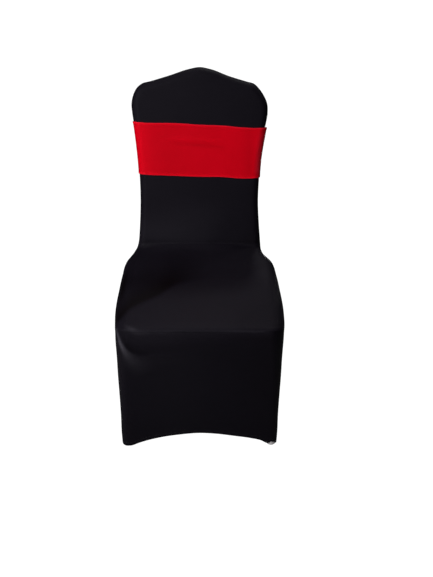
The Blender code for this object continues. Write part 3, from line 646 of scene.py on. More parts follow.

# %% [markdown]
# Light and shade are painted into the knit's colour. Each point of the cloth carries a painted
# light value: above 0 it mixes in a painted highlight, 1 at the brightest crest, and below 0 it
# mixes in painted shade. It follows the folds, and on the seat painted shade lies behind the line
# where the cloth leaves the cushion and is drawn up to the back.

# %% Painted light and shade
# Lines of painted light: a value above 0 is a painted highlight, below 0 painted shade.
PAINTED_LIGHT_LINES = {
    "corner pull": {
        "strain": (0.5, 0.9, 0.9, 0.6, 0.28, 0.12, 0.0),
        "width": (0.004, 0.0055, 0.007, 0.01, 0.017, 0.026, 0.034),
    },
    "hollow above the pull": {
        "strain": (-0.15, -0.3, -0.35, -0.35, -0.25, -0.2, 0.0), "width": 0.006,
    },
    "corner of the cushion": {
        "strain": (0.0, 0.12, 0.28, 0.15, 0.0), "width": (0.005, 0.006, 0.007, 0.007, 0.007),
    },
    "below the cushion": {
        "x": (-0.185, -0.14, -0.08, 0.0), "y": (-0.003, -0.0015, -0.0015, -0.002),
        "z": (0.35, 0.352, 0.356, 0.36), "strain": (0.0, 0.045, 0.022, 0.0),
        "width": (0.018, 0.02, 0.018, 0.016),
    },
    "below the front edge": {
        "x": (-0.19, -0.15, -0.09, -0.02), "y": (0.0, -0.004, -0.004, -0.004), "z": 0.42,
        "strain": (0.01, 0.035, 0.026, 0.0), "width": (0.014, 0.016, 0.016, 0.016),
    },
    "along the front edge": {
        "x": (-0.175, -0.14, -0.09, -0.04, 0.0, 0.05, 0.095, 0.14, 0.165, 0.185),
        "y": (0.0005, 0.0005, 0.0005, 0.001, 0.0012, 0.0012, 0.0014, 0.0011, 0.0011, 0.0011),
        "z": (0.444, 0.444, 0.444, 0.446, 0.446, 0.446, 0.4457, 0.445, 0.445, 0.445),
        "strain": (0.0, 0.055, 0.09, 0.015, 0.018, 0.056, 0.145, 0.225, 0.22, 0.08), "width": 0.004,
    },
    "behind the front edge": {
        "x": (-0.1, -0.03, 0.05, 0.1, 0.14, 0.18), "y": 0.008, "z": 0.4502,
        "strain": (0.0, 0.004, 0.006, 0.012, 0.016, 0.004), "width": 0.006,
    },
    "below the front edge, right": {
        "x": (0.05, 0.1, 0.18), "y": -0.003, "z": 0.428, "strain": (0.0, -0.14, -0.14),
        "width": 0.013,
    },
    "left half of the front skirt": {
        "x": (-0.11, -0.1, -0.09), "y": (0.0, 0.012, 0.024), "z": (0.39, 0.23, 0.03),
        "strain": (0.018, 0.018, 0.022), "width": 0.09,
    },
    "middle of the front skirt": {
        "x": -0.03, "y": (0.0, 0.012, 0.024), "z": (0.39, 0.23, 0.03), "strain": 0.014,
        "width": 0.08,
    },
    "left edge of the seat": {
        "x": (-0.203, -0.211, -0.215, -0.215, -0.215, -0.218),
        "y": (0.29, 0.26, 0.22, 0.18, 0.12, 0.07),
        "z": (0.457, 0.45, 0.4456, 0.4456, 0.4456, 0.4456),
        "strain": (-0.15, -0.5, -0.7, -0.65, -0.15, 0.0),
        "width": (0.009, 0.01, 0.011, 0.011, 0.01, 0.009),
    },
    "left rear of the seat": {
        "x": (-0.18, -0.15, -0.115), "y": (0.23, 0.24, 0.235), "z": (0.455, 0.457, 0.457),
        "strain": (-0.22, -0.24, -0.08), "width": (0.032, 0.036, 0.032),
    },
    "right rear of the seat": {
        "x": (0.02, 0.08, 0.13, 0.17), "y": (0.23, 0.23, 0.225, 0.26),
        "z": (0.457, 0.455, 0.455, 0.457), "strain": (0.01, 0.016, 0.022, 0.022),
        "width": (0.026, 0.026, 0.028, 0.03),
    },
    "left edge of the front skirt": {
        "x": (-0.22, -0.226, -0.23), "y": (0.018, 0.022, 0.024), "z": (0.37, 0.25, 0.05),
        "strain": (-0.45, -0.3, -0.2), "width": (0.014, 0.012, 0.01),
    },
    "join": {
        "x": (-0.178, -0.15, -0.1, -0.05, 0.0, 0.06, 0.12, 0.15, 0.178),
        "y": (0.385, 0.381, 0.381, 0.381, 0.381, 0.381, 0.381, 0.381, 0.385),
        "z": (0.493, 0.492, 0.492, 0.492, 0.492, 0.492, 0.492, 0.492, 0.493),
        "strain": (0.0, -0.05, -0.04, -0.03, -0.02, -0.08, -0.14, -0.2, -0.1),
        "width": (0.006, 0.007, 0.007, 0.007, 0.007, 0.007, 0.007, 0.007, 0.006),
    },
    "in front of the join": {
        "x": (-0.15, -0.1, -0.05, 0.02, 0.07, 0.12), "y": 0.366, "z": 0.486,
        "strain": (0.01, 0.022, 0.035, 0.028, 0.018, 0.004), "width": 0.02,
    },
    "middle of the back": {
        "x": (-0.12, -0.07, -0.02, 0.035, 0.065, 0.095), "y": 0.402, "z": 0.567,
        "strain": (0.012, 0.032, 0.05, 0.04, 0.02, 0.0), "width": 0.04,
    },
    "foot of the back, left": {
        "x": (-0.18, -0.11, -0.05, 0.01, 0.07), "y": (0.39, 0.388, 0.386, 0.385, 0.385),
        "z": (0.52, 0.52, 0.515, 0.51, 0.505), "strain": (0.055, 0.08, 0.075, 0.05, 0.0),
        "width": (0.04, 0.044, 0.044, 0.036, 0.03),
    },
    "foot of the back, right": {
        "x": (0.174, 0.17), "y": (0.385, 0.42), "z": (0.5, 0.62), "strain": (-0.2, -0.12),
        "width": 0.04,
    },
    "right of the front skirt": {
        "x": (0.215, 0.22), "y": (0.005, 0.015), "z": (0.39, 0.05), "strain": (-0.2, -0.26),
        "width": (0.09, 0.1),
    },
}
PAINTED_LIGHT_LINES = {name: {**FOLDS.get(name, {}), **line} for name, line in PAINTED_LIGHT_LINES.items()}
SEAT_PAINTED_LIGHT = {"drawn": 0.028, "painted_shade": -0.78}  # painted light before the slanting line, painted shade behind it
SEAT_EDGE = 0.007  # how softly the painted light turns into the painted shade
PAINTED_SHADE_REACH = 0.080  # how far behind the line the painted shade goes
PAINTED_SHADE_SIDE = (-0.11, 0.03)  # the painted shade fades out between these places across
LEVEL_SIDE = 0.196  # the seat is level up to here at both sides, where its painted light stops
LEVEL_FRONT = 0.004
LEVEL_ROLL = 0.005


# Painted light on the level front of the seat, and painted shade behind the slanting line.
def seat_painted_light(points):
    x, y = points[:, 0], points[:, 1] - SEAT_FRONT
    line = from_table(SWEEP_LINE, "x", "y", x)
    behind = step(y - line, SEAT_EDGE)
    level = step(LEVEL_SIDE - np.abs(x), LEVEL_ROLL) * step(y - LEVEL_FRONT, LEVEL_FRONT)
    fading = np.exp(-(np.clip((y - line) / PAINTED_SHADE_REACH, 0.0, None) ** 2))
    side = ease((x - PAINTED_SHADE_SIDE[0]) / (PAINTED_SHADE_SIDE[1] - PAINTED_SHADE_SIDE[0]))
    # drawn is the painted light here, and the second term adds the painted shade.
    drawn = (1.0 - behind) * level * SEAT_PAINTED_LIGHT["drawn"]
    return drawn + behind * fading * side * SEAT_PAINTED_LIGHT["painted_shade"]


# Painted highlight and painted shade at each point of a panel, from the lines and, on the seat, from the
# slanting line.
def painted_light_of(panel):
    strain = along_lines(panel.outer, PAINTED_LIGHT_LINES, "strain")
    if panel.name == "inside_back_and_seat_cloth":
        strain = strain + seat_painted_light(panel.outer)
    return np.clip(strain, -1.0, 1.0)


print("strain follows:", ", ".join(PAINTED_LIGHT_LINES))

# %% [markdown]
# ## Panels
#
# A panel is made of one or more grids of points. Points on a shared seam are worked out from
# the same numbers, so they coincide, and the outward direction there is shared by both panels.
# The panel sinks by its depth, and its inner face follows at the cloth's thickness. The rim
# between the two faces closes it. A UV map keeps the cloth's own lengths, so that the knit runs
# along the cloth and not through space.

# %% Panel tools
WELD = 1e-6


class Panel:
    """Grids of one cloth panel, with the depth, thickness and cloth lengths at each point."""

    def __init__(self, name):
        self.name = name
        self.grids = []

    def add(self, points, uv, depth, thickness=KNIT, turned=False):
        """Adds a grid of points, which are measured back from the seat's front edge."""
        shape = points.shape[:2]
        depth = np.broadcast_to(depth, shape)
        thickness = np.broadcast_to(thickness, shape)
        self.grids.append((points + SHIFT, uv, depth, thickness, turned))


def quads_of(rows, columns, start, turned):
    ids = start + np.arange(rows * columns).reshape(rows, columns)
    corners = [ids[:-1, :-1], ids[1:, :-1], ids[1:, 1:], ids[:-1, 1:]]
    quads = np.stack(corners, axis=-1).reshape(-1, 4)
    return quads[:, ::-1] if turned else quads


def outward_at(points, quads):
    """The outward direction at each point, from the faces around it."""
    a, b, c, d = (points[quads[:, i]] for i in range(4))
    normal = np.cross(c - a, d - b)
    total = np.zeros_like(points)
    for i in range(4):
        np.add.at(total, quads[:, i], normal)
    return unit(total)


def same_place(points):
    """For each point, the number of the first one that lies at the same place."""
    tree = KDTree(len(points))
    for number, point in enumerate(points):
        tree.insert(point, number)
    tree.balance()
    return np.array([min(number for _, number, _ in tree.find_range(point, WELD)) for point in points])


def sew(panels, folds):
    """Joins the panels' points, raises the folds, sinks the seams and fills in each panel's arrays."""
    start = 0
    for panel in panels:
        quads, panel.start = [], start
        for points, *_, turned in panel.grids:
            quads.append(quads_of(*points.shape[:2], start, turned))
            start += points.shape[0] * points.shape[1]
        panel.quads = np.concatenate(quads)
        panel.ids = slice(panel.start, start)
    grids = [grid for panel in panels for grid in panel.grids]
    loose = np.concatenate([points.reshape(-1, 3) for points, *_ in grids])
    sunk = np.concatenate([depth.reshape(-1) for _, _, depth, *_ in grids])
    first, place = np.unique(same_place(loose), return_inverse=True)
    points = loose[first]
    deep, proud = np.zeros((2, len(points)))
    np.maximum.at(deep, place, sunk)
    np.minimum.at(proud, place, sunk)
    depth = deep + proud
    everything = place[np.concatenate([panel.quads for panel in panels])]
    raised = along_lines(points, folds, "height")
    points = points + outward_at(points, everything) * raised[:, None]
    outward = outward_at(points, everything)
    points = points - outward * depth[:, None]

    for panel in panels:
        corners = place[panel.quads]
        used, local = np.unique(corners, return_inverse=True)
        uv = np.concatenate([lengths.reshape(-1, 2) for _, lengths, *_ in panel.grids])
        thick = np.zeros(len(points))
        thick[place[panel.ids]] = np.concatenate([each.reshape(-1) for *_, each, _ in panel.grids])
        panel.uv = uv[panel.quads - panel.start]
        panel.quads = local.reshape(corners.shape)
        panel.outer, panel.outward = points[used], outward[used]
        panel.thickness, panel.depth = thick[used], depth[used]
        panel.local_of = np.searchsorted(used, place[panel.ids])
    return panels


def cloth_object(panel, strain):
    """A closed sheet: outer face, inner face and the rim between them, with a painted light value at each
    point.
    """
    count = len(panel.outer)
    inner = panel.outer - panel.outward * panel.thickness[:, None]
    points = np.concatenate([panel.outer, inner])
    quads, uv = panel.quads, panel.uv
    ahead = np.roll(quads, -1, axis=1)
    forward = quads.reshape(-1) * count + ahead.reshape(-1)
    backward = ahead.reshape(-1) * count + quads.reshape(-1)
    border = np.nonzero(~np.isin(forward, backward))[0]
    a, b = quads.reshape(-1)[border], ahead.reshape(-1)[border]
    rim = np.stack([b, a, a + count, b + count], axis=1)
    uv_a, uv_b = uv.reshape(-1, 2)[border], np.roll(uv, -1, axis=1).reshape(-1, 2)[border]
    rim_uv = np.stack([uv_b, uv_a, uv_a, uv_b], axis=1)
    faces = np.concatenate([quads, quads[:, ::-1] + count, rim])
    lengths = np.concatenate([uv, uv[:, ::-1], rim_uv])
    mesh = bpy.data.meshes.new(panel.name)
    mesh.from_pydata(points.tolist(), [], faces.tolist())
    mesh.uv_layers.new(name="cloth").data.foreach_set("uv", lengths.reshape(-1))
    for name, values in (("seam", panel.depth / SEAM_DEPTH), ("strain", strain)):
        layer = mesh.attributes.new(name, "FLOAT", "POINT")
        layer.data.foreach_set("value", np.tile(values, 2))
    mesh.polygons.foreach_set("use_smooth", [True] * len(mesh.polygons))
    mesh.update()
    return add_object(panel.name, mesh)


print("panel tools ready")

# %% [markdown]
# ## Cutting the five panels
#
# The inside back and the seat are one panel, from the crown to the seat's front edge. The
# outside back runs from the crown to the floor. The front skirt wraps round both front corners,
# and the side skirts fill the rest.

# %% Cover panels
def joined(left_part, middle, right_part):
    """One grid across, from a left edge that runs outwards, a middle and a right edge."""
    return np.concatenate([left_part[:, :0:-1], middle, right_part[:, 1:]], axis=1)


def back_panel(name, side, swell):
    """The face of the back and its rounded edges, in front (side 1) or behind (-1)."""
    panel = Panel(name)
    face, uv = face_grid(left, top, right, side, swell)
    panel.add(face, uv, 0.0, turned=side < 0)
    edges = [edge_round(rows, side) for rows in (left, top, right)]
    for (points, lengths), turned in zip(edges, (side > 0, side < 0, side < 0)):
        panel.add(points, lengths, EDGE_DEPTH, turned=turned)
    return panel, edges[0][0], face, edges[2][0], uv[-1, 0, 1]


def cover_panels():
    inside, front_left, face, front_right, front_run = back_panel(
        "inside_back_and_seat_cloth", 1, FRONT_SWELL
    )
    seat_left, seat_right = side_sections(-1), side_sections(1)
    seat = seat_grid(seat_left, seat_right)
    for grid, join in ((seat, face), (seat_left, front_left), (seat_right, front_right)):
        settle = ease(seat_length / JOIN_RUN)[:, None, None]
        grid += settle * (join[-1] - grid[0])
        grid[0] = join[-1]
    from_front = seat_length[-1] - seat_length
    row_depth = seam_depth(from_front)[:, None] * FRONT_SEAM_OPEN
    column_depth = np.concatenate([EDGE_DEPTH[:0:-1], np.zeros(ACROSS + 1), EDGE_DEPTH[1:]])
    whole = joined(seat_left, seat, seat_right)
    inside.add(whole, grid_uv(whole, front_run), np.maximum(row_depth, column_depth))

    skirt = hanging_panel(whole[-1], FRONT, FRONT_HEM, FRONT_DRAW, 1)
    depth = np.maximum(LEVEL_DEPTH * FRONT_SEAM_OPEN, HEM_DEPTH)[:, None]
    front_skirt = Panel("front_skirt_cloth")
    front_skirt.add(skirt, grid_uv(skirt), np.maximum(depth, column_depth), HEM_THICKNESS[:, None])

    outside, *rear, rear_run = back_panel("outside_back_cloth", -1, REAR_SWELL)
    lower = hanging_panel(joined(*rear)[-1], REAR, REAR_HEM, REAR_DRAW, -1)
    depth = np.maximum(HEM_DEPTH[:, None], column_depth)
    outside.add(lower, grid_uv(lower, rear_run), depth, HEM_THICKNESS[:, None], turned=True)

    sides = []
    column_depth = np.maximum(seam_depth(seat_length), seam_depth(from_front))
    depth = np.maximum(np.maximum(LEVEL_DEPTH, HEM_DEPTH)[:, None], column_depth)
    for name, seam, column, side in (("left", seat_left, 0, -1), ("right", seat_right, -1, 1)):
        cloth = side_skirt(seam[:, -1], skirt[:, column], lower[:, column], side)
        panel = Panel(f"side_skirt_{name}_cloth")
        panel.add(cloth, grid_uv(cloth), depth, HEM_THICKNESS[:, None], turned=side > 0)
        sides.append(panel)
    return [inside, front_skirt, outside] + sides


panels = sew(cover_panels(), FOLDS)
cloths = {panel.name: cloth_object(panel, painted_light_of(panel)) for panel in panels}
for name, cloth in cloths.items():
    print(name, len(cloth.data.polygons), "faces")

# %% [markdown]
# ## Sash
#
# The sash is one closed band of red knit, cut a little short and pulled on over the back. It
# could be a ring of separate quads, but it is built as a panel like the others, so it gets the
# same thickness, hems and cloth lengths. Its upper and lower edges are narrow turned hems that
# stand a little proud.

# %% Sash
SASH_EDGE = {
    "x": (-0.1900, -0.1500, -0.0700, 0.0000, 0.0700, 0.1200, 0.1550, 0.1900),
    "top_z": (0.8195, 0.8165, 0.8155, 0.8115, 0.8090, 0.8045, 0.8030, 0.8035),
    "bottom_z": (0.6820, 0.6795, 0.6770, 0.6745, 0.6735, 0.6695, 0.6700, 0.6720),
}
SASH_OUTER = 0.0025  # how far its face stands off the back
SASH_HEIGHT = 0.137
SASH_HEM_LINE = 0.0062
SASH_FLAT = 92
SASH_ROUND = 28
SASH_ROWS = 46
SASH_HIGHLIGHT_WIDTH = 0.0024  # how far in from its edges the painted highlight on the hems reaches
# Strength of the painted highlight along the sash's hems.
SASH_HEM_HIGHLIGHT = 0.5
SASH_RISE = 0.0004  # how far its hems stand proud
SASH_RISE_RUN = 0.001
SASH_THICKEST = 0.0012
SASH_STEPS = (0.0, 0.00025, 0.0005, 0.0009, 0.0016, 0.0028, 0.0040, 0.0050, 0.0056,
              0.0062, 0.0068, 0.0074, 0.0082, 0.0092, 0.0105)
# Folds of the sash with their painted light: above 0 a painted highlight, below 0 painted shade. The two
# ends and the line across the middle are painted light and shade alone, with no height.
SASH_FOLDS = {
    "soft crease": {
        "x": (-0.115, -0.075, -0.041, 0.0155, 0.055, 0.085),
        "y": (0.4634, 0.462, 0.4613, 0.4599, 0.4595, 0.4592),
        "z": (0.7764, 0.7754, 0.7743, 0.7705, 0.7675, 0.765),
        "height": (0.0, 0.0009, 0.0014, 0.0013, 0.0008, 0.0),
        "strain": (0.0, 0.04, 0.06, 0.05, 0.03, 0.0),
        "width": (0.005, 0.006, 0.006, 0.006, 0.005, 0.005),
    },
    "left end": {
        "x": (-0.178, -0.164), "y": (0.472, 0.44), "z": (0.81, 0.69), "height": 0.0, "strain": 0.14,
        "width": 0.022,
    },
    "painted shade across the sash": {
        "x": (-0.15, -0.125, -0.1, -0.065, -0.03, 0.02, 0.07, 0.115, 0.14, 0.16),
        "y": (0.456, 0.456, 0.455, 0.454, 0.454, 0.454, 0.454, 0.455, 0.4555, 0.457), "z": 0.746,
        "height": 0.0, "strain": (-0.12, -0.17, -0.18, -0.15, -0.1, -0.06, 0.0, -0.01, -0.12, 0.0),
        "width": 0.15,
    },
    "right end": {
        "x": (0.177, 0.172), "y": (0.472, 0.448), "z": (0.78, 0.69), "height": 0.0,
        "strain": (0.25, 0.9), "width": 0.012,
    },
    "hollow under the crease": {
        "x": (-0.075, -0.055, 0.005, 0.0636, 0.085), "y": (0.46, 0.458, 0.4568, 0.4554, 0.455),
        "z": (0.764, 0.7626, 0.7582, 0.7534, 0.752),
        "height": (0.0, -0.0004, -0.0005, -0.0004, 0.0), "strain": (0.0, -0.1, -0.14, -0.1, 0.0),
        "width": 0.005,
    },
}
sash_at = crowded(np.linspace(0.0, SASH_HEIGHT, SASH_ROWS + 1), SASH_STEPS, SASH_STEPS)


def flat_end(edge, z):
    """Where the flat of the back ends at one side, at a height."""
    side = math.copysign(EDGE_RADIUS, edge["x"][0])
    return smooth(edge["z"][:UPRIGHT_ROWS], edge["x"][:UPRIGHT_ROWS], [z])[0] - side


def sash_grid():
    """Rows of the sash's face, from its upper to its lower edge, once round the back."""
    across = np.linspace(-1.0, 1.0, SASH_FLAT + 1)[:-1]
    angle = np.linspace(0.0, math.pi, SASH_ROUND + 1)[:-1]
    ones, none = np.ones(SASH_ROUND), np.zeros(SASH_FLAT)
    share = np.concatenate([across, ones, -across, -ones, [-1.0]])
    sideways = np.concatenate([none, np.sin(angle), none, -np.sin(angle), [0.0]])
    forwards = np.concatenate([none + 1, np.cos(angle), none - 1, -np.cos(angle), [1.0]])
    radius = EDGE_RADIUS + SASH_OUTER
    swell = (1 - share**2) * np.where(forwards > 0, FRONT_SWELL, REAR_SWELL)
    top_z, bottom_z = (from_table(SASH_EDGE, "x", name, 0.0) for name in ("top_z", "bottom_z"))
    rows = []
    for row in sash_at / SASH_HEIGHT:
        middle = top_z * (1 - row) + bottom_z * row
        left_end, right_end = flat_end(LEFT_EDGE, middle), flat_end(RIGHT_EDGE, middle)
        x = left_end * (1 - share) / 2 + right_end * (1 + share) / 2 + sideways * radius
        upper = from_table(SASH_EDGE, "x", "top_z", x)
        lower = from_table(SASH_EDGE, "x", "bottom_z", x)
        z = upper * (1 - row) + lower * row - radius * math.sin(LEAN)
        rows.append(slab(x, drop_at(z), forwards * radius + np.sign(forwards) * swell))
    return np.array(rows)


def sash_panel():
    grid = sash_grid()
    distance = np.minimum(sash_at, SASH_HEIGHT - sash_at)
    layers = hem_layers(distance, (SASH_HEM_LINE,))
    turned_up = layers > KNIT * 1.5  # where the cloth is nearer two layers thick than one
    proud = SASH_RISE * turned_up * np.clip(distance / SASH_RISE_RUN, 0.0, 1.0)
    depth = fold_roll(distance) + furrows(distance, (SASH_HEM_LINE,)) - proud
    panel = Panel("sash_cloth")
    thickness = np.minimum(layers, SASH_THICKEST)
    panel.add(grid, grid_uv(grid), depth[:, None], thickness[:, None])
    return panel


[sash] = sew([sash_panel()], SASH_FOLDS)
# Painted highlight along both hems, added to the painted light and shade along the sash's lines.
edge_share = np.minimum(sash_at, SASH_HEIGHT - sash_at) / SASH_HIGHLIGHT_WIDTH
hem_painted_highlight = SASH_HEM_HIGHLIGHT * np.exp(-(edge_share**2))
sash_painted_light = np.zeros(len(sash.outer))
sash_painted_light[sash.local_of] = np.repeat(hem_painted_highlight, 2 * (SASH_FLAT + SASH_ROUND) + 1)
sash_painted_light = sash_painted_light + along_lines(sash.outer, SASH_FOLDS, "strain")
cloths["sash_cloth"] = cloth_object(sash, sash_painted_light)
print("sash_cloth", len(cloths["sash_cloth"].data.polygons), "faces")

# %% [markdown]
# ## Foot pockets
#
# The chair's feet stand in four stout cups of coated cloth, sewn inside the corners of the hem.
# A cup is turned like a pot: a profile is spun round an upright line, which gives even rings of
# quads, and a cloth cup then gets a doubled rim and a few soft creases round its wall. A plain
# cylinder would miss the round sole, which is what shows under the lifted corner of the hem.

# %% Foot pockets
CUP_OUTSIDE = {
    "radius": (0.0, 0.0060, 0.0106, 0.0132, 0.0147, 0.0152, 0.0151, 0.0148, 0.0146, 0.0148, 0.0147),
    "z": (0.0, 0.0, 0.0001, 0.0008, 0.0027, 0.0055, 0.0110, 0.0190, 0.0268, 0.0278, 0.0352),
}
CUP_INSIDE = {
    "radius": (0.0136, 0.0136, 0.0137, 0.0139, 0.0136, 0.0124, 0.0098, 0.0050, 0.0),
    "z": (0.0354, 0.0280, 0.0190, 0.0080, 0.0050, 0.0030, 0.0021, 0.0020, 0.0020),
}
CUP_STEPS = 3  # points between one row of the profile and the next
CUP_SIDES = 56
CUP_RADIUS = 0.015
CUP_HEIGHT = 0.036
CUP_CREASE = 0.00022
SMALL_CREASE = 0.6  # share of the finer creases
CUP_PLACES = {
    "foot_pocket_front_left": (-0.2144, 0.0356, 0.4),
    "foot_pocket_front_right": (0.2144, 0.0356, 1.9),
    "foot_pocket_rear_left": (-0.1894, 0.4475, 3.1),
    "foot_pocket_rear_right": (0.1894, 0.4475, 5.2),
}


def cup_profile():
    """Points from the middle of the sole, up the outside, over the rim and down the inside."""
    return np.concatenate([dense_curve(side.values(), CUP_STEPS) for side in (CUP_OUTSIDE, CUP_INSIDE)])


def cup_object(name, x, y, phase):
    shape = bmesh.new()
    points = [shape.verts.new((radius, 0.0, z)) for radius, z in cup_profile()]
    edges = [shape.edges.new(pair) for pair in zip(points[:-1], points[1:])]
    bmesh.ops.spin(
        shape, geom=points + edges, axis=(0, 0, 1), angle=2 * math.pi, steps=CUP_SIDES, use_merge=True
    )
    bmesh.ops.remove_doubles(shape, verts=shape.verts, dist=WELD)
    bmesh.ops.recalc_face_normals(shape, faces=shape.faces)
    for point in shape.verts:
        angle = math.atan2(point.co.y, point.co.x)
        wave = math.sin(3 * angle + phase) + SMALL_CREASE * math.sin(7 * angle - 2 * phase)
        height = math.sin(math.pi * min(point.co.z / CUP_HEIGHT, 1.0))
        crease = 1.0 - CUP_CREASE * wave * height / CUP_RADIUS
        point.co.x = point.co.x * crease + x
        point.co.y = point.co.y * crease + y + SEAT_FRONT
    mesh = bpy.data.meshes.new(name)
    shape.to_mesh(mesh)
    shape.free()
    mesh.polygons.foreach_set("use_smooth", [True] * len(mesh.polygons))
    return add_object(name, mesh)


cups = {name: cup_object(name + "_cup", *place) for name, place in CUP_PLACES.items()}
print("cups:", ", ".join(cups), "with", len(cups["foot_pocket_rear_left"].data.polygons), "faces each")

# %% [markdown]
# ## Stitches
#
# Two lines of stitches hold each skirt hem, and one line holds each hem of the sash. A stitch
# is one short, slightly flattened bead of thread. Setting out more than a thousand of them by
# hand would be slow, so a Geometry Nodes tree walks along a path and puts one at every pitch.
# Its inputs are the pitch, the size of a stitch and how unevenly they lie. The short helpers
# that add its nodes serve the materials too.

# %% Node helpers
def plug(tree, node, inputs):
    """Links or sets a node's inputs."""
    for key, value in inputs.items():
        if isinstance(value, bpy.types.NodeSocket):
            tree.links.new(value, node.inputs[key])
        else:
            node.inputs[key].default_value = value


def add(tree, kind, inputs=None, **settings):
    """Adds a node, sets its properties, links or sets its inputs, and returns its outputs."""
    made = tree.nodes.new(kind)
    for key, value in settings.items():
        setattr(made, key, value)
    plug(tree, made, inputs or {})
    return made.outputs


def new_group(name, kind, inputs, outputs):
    """An empty node group. A socket is given by its value, or by what it holds if it has none."""
    tree = bpy.data.node_groups.new(name, kind)
    sockets = [("INPUT", *item) for item in inputs.items()]
    sockets += [("OUTPUT", *item) for item in outputs.items()]
    for side, title, value in sockets:
        holds = value if isinstance(value, str) else {float: "Float", int: "Int"}[type(value)]
        socket = tree.interface.new_socket(title, in_out=side, socket_type="NodeSocket" + holds)
        if holds != value:
            socket.default_value = value
    return tree, tree.nodes.new("NodeGroupInput").outputs, tree.nodes.new("NodeGroupOutput")


print("node helpers ready")

# %% Stitch tree
STITCH_PITCH = 0.0028
STITCH_SIZES = {"Pitch": STITCH_PITCH, "Length": 0.0022, "Thickness": 0.00042, "Unevenness": 0.05}
BEAD = {"Segments": 8, "Rings": 5, "Radius": 0.5}


def stitch_tree():
    inputs = {"Path": "Geometry", **STITCH_SIZES, "Seed": 3, "Thread": "Material"}
    tree, given, out = new_group("Stitch row", "GeometryNodeTree", inputs, {"Stitches": "Geometry"})
    node = partial(add, tree)
    line = node("GeometryNodeMeshToCurve", {"Mesh": given["Path"]})
    walk = {"Curve": line["Curve"], "Length": given["Pitch"]}
    places = node("GeometryNodeResampleCurve", walk, mode="LENGTH")
    bead = node("GeometryNodeMeshUVSphere", BEAD)
    outward = node("GeometryNodeInputNamedAttribute", {"Name": "out"}, data_type="FLOAT_VECTOR")
    tangent = node("GeometryNodeInputTangent")
    axes = {"Primary Axis": outward["Attribute"], "Secondary Axis": tangent["Tangent"]}
    aim = node("FunctionNodeAxesToRotation", axes, primary_axis="Z", secondary_axis="X")
    most = node("ShaderNodeCombineXYZ", {"Z": given["Unevenness"]})["Vector"]
    least = node("ShaderNodeVectorMath", {0: most, "Scale": -1.0}, operation="SCALE")["Vector"]
    limits = {"Min": least, "Max": most, "Seed": given["Seed"]}
    sway = node("FunctionNodeRandomValue", limits, data_type="FLOAT_VECTOR")
    turn_by = node("FunctionNodeEulerToRotation", {"Euler": sway["Value"]})
    turns = {"Rotation": aim["Rotation"], "Rotate By": turn_by["Rotation"]}
    rotation = node("FunctionNodeRotateRotation", turns, rotation_space="LOCAL")
    thick = given["Thickness"]
    size = node("ShaderNodeCombineXYZ", {"X": given["Length"], "Y": thick, "Z": thick})
    beads = node("GeometryNodeInstanceOnPoints", {
        "Points": places["Curve"],
        "Instance": bead["Mesh"],
        "Rotation": rotation["Rotation"],
        "Scale": size["Vector"],
    })
    real = node("GeometryNodeRealizeInstances", {"Geometry": beads["Instances"]})
    smooth_faces = node("GeometryNodeSetShadeSmooth", {0: real["Geometry"]})
    painted = node("GeometryNodeSetMaterial", {"Geometry": smooth_faces[0], "Material": given["Thread"]})
    plug(tree, out, {"Stitches": painted["Geometry"]})
    return tree


STITCHES = stitch_tree()
SOCKETS = {item.name: item.identifier for item in STITCHES.interface.items_tree if item.in_out == "INPUT"}
print("stitch tree inputs:", ", ".join(SOCKETS))

# %% [markdown]
# ## Materials
#
# Stretch knit is a field of tiny loops. They are far too many to model, so the loops are a
# height pattern worked out from the cloth lengths, which bumps the surface and darkens the gaps
# between the loops. The pattern, and the slow unevenness of any dyed cloth, are node groups
# that every knit shares. Colours and roughness stay with each material.
#
# Each wale of the knit is a column of small V shapes. Across a wale the height is a sine with a
# leg on each side of the middle, and down it the legs slant towards the middle, because the
# phase of the courses is pushed along by the distance from the edge of the wale.

# %% Shared groups
COURSE_DEPTH = 0.35  # share of the loops' height that goes up and down along a leg
GAP_SHARPNESS = 0.6
FINE_SCALE = 9.0  # times the scale of the broad patches
FINE_SHARE = 0.3
FUZZ_SCALE = 2600.0


def result(tree, operation, *values):
    return add(tree, "ShaderNodeMath", dict(enumerate(values)), operation=operation)[0]


def loops_group():
    inputs = {"Vector": "Vector", "Wale": 0.0008, "Course": 0.0007}
    outputs = {"Height": "Float", "Gap": "Float"}
    tree, given, out = new_group("Knit loops", "ShaderNodeTree", inputs, outputs)
    calc = partial(result, tree)
    place = add(tree, "ShaderNodeSeparateXYZ", {0: given["Vector"]})
    across = calc("DIVIDE", place[0], given["Wale"])
    down = calc("DIVIDE", place[1], given["Course"])
    wale = calc("MULTIPLY", calc("PINGPONG", across, 0.5), 2.0)
    legs = calc("SINE", calc("MULTIPLY", wale, math.pi))
    slant = calc("MULTIPLY_ADD", wale, 0.5, down)
    courses = calc("SINE", calc("MULTIPLY", slant, 2 * math.pi))
    courses = calc("MULTIPLY_ADD", courses, COURSE_DEPTH, 1.0 - COURSE_DEPTH)
    height = calc("MULTIPLY", legs, courses)
    gap = calc("SUBTRACT", 1.0, calc("POWER", height, GAP_SHARPNESS))
    plug(tree, out, {"Height": height, "Gap": gap})
    return tree


def tone_group():
    """Broad and fine patches for the tone, and a much finer fuzz for the surface."""
    inputs = {"Vector": "Vector", "Scale": 7.0}
    outputs = {"Tone": "Float", "Fuzz": "Float"}
    tree, given, out = new_group("Uneven tone", "ShaderNodeTree", inputs, outputs)
    calc = partial(result, tree)

    def noise(scale, detail):
        settings = {"Vector": given["Vector"], "Scale": scale, "Detail": detail}
        return add(tree, "ShaderNodeTexNoise", settings)[0]

    broad = noise(given["Scale"], 2.0)
    fine = noise(calc("MULTIPLY", given["Scale"], FINE_SCALE), 3.0)
    tone = calc("MULTIPLY_ADD", fine, FINE_SHARE, calc("MULTIPLY", broad, 1.0 - FINE_SHARE))
    plug(tree, out, {"Tone": tone, "Fuzz": noise(FUZZ_SCALE, 1.0)})
    return tree


LOOPS = loops_group()
TONE = tone_group()
print("groups:", LOOPS.name, "and", TONE.name)
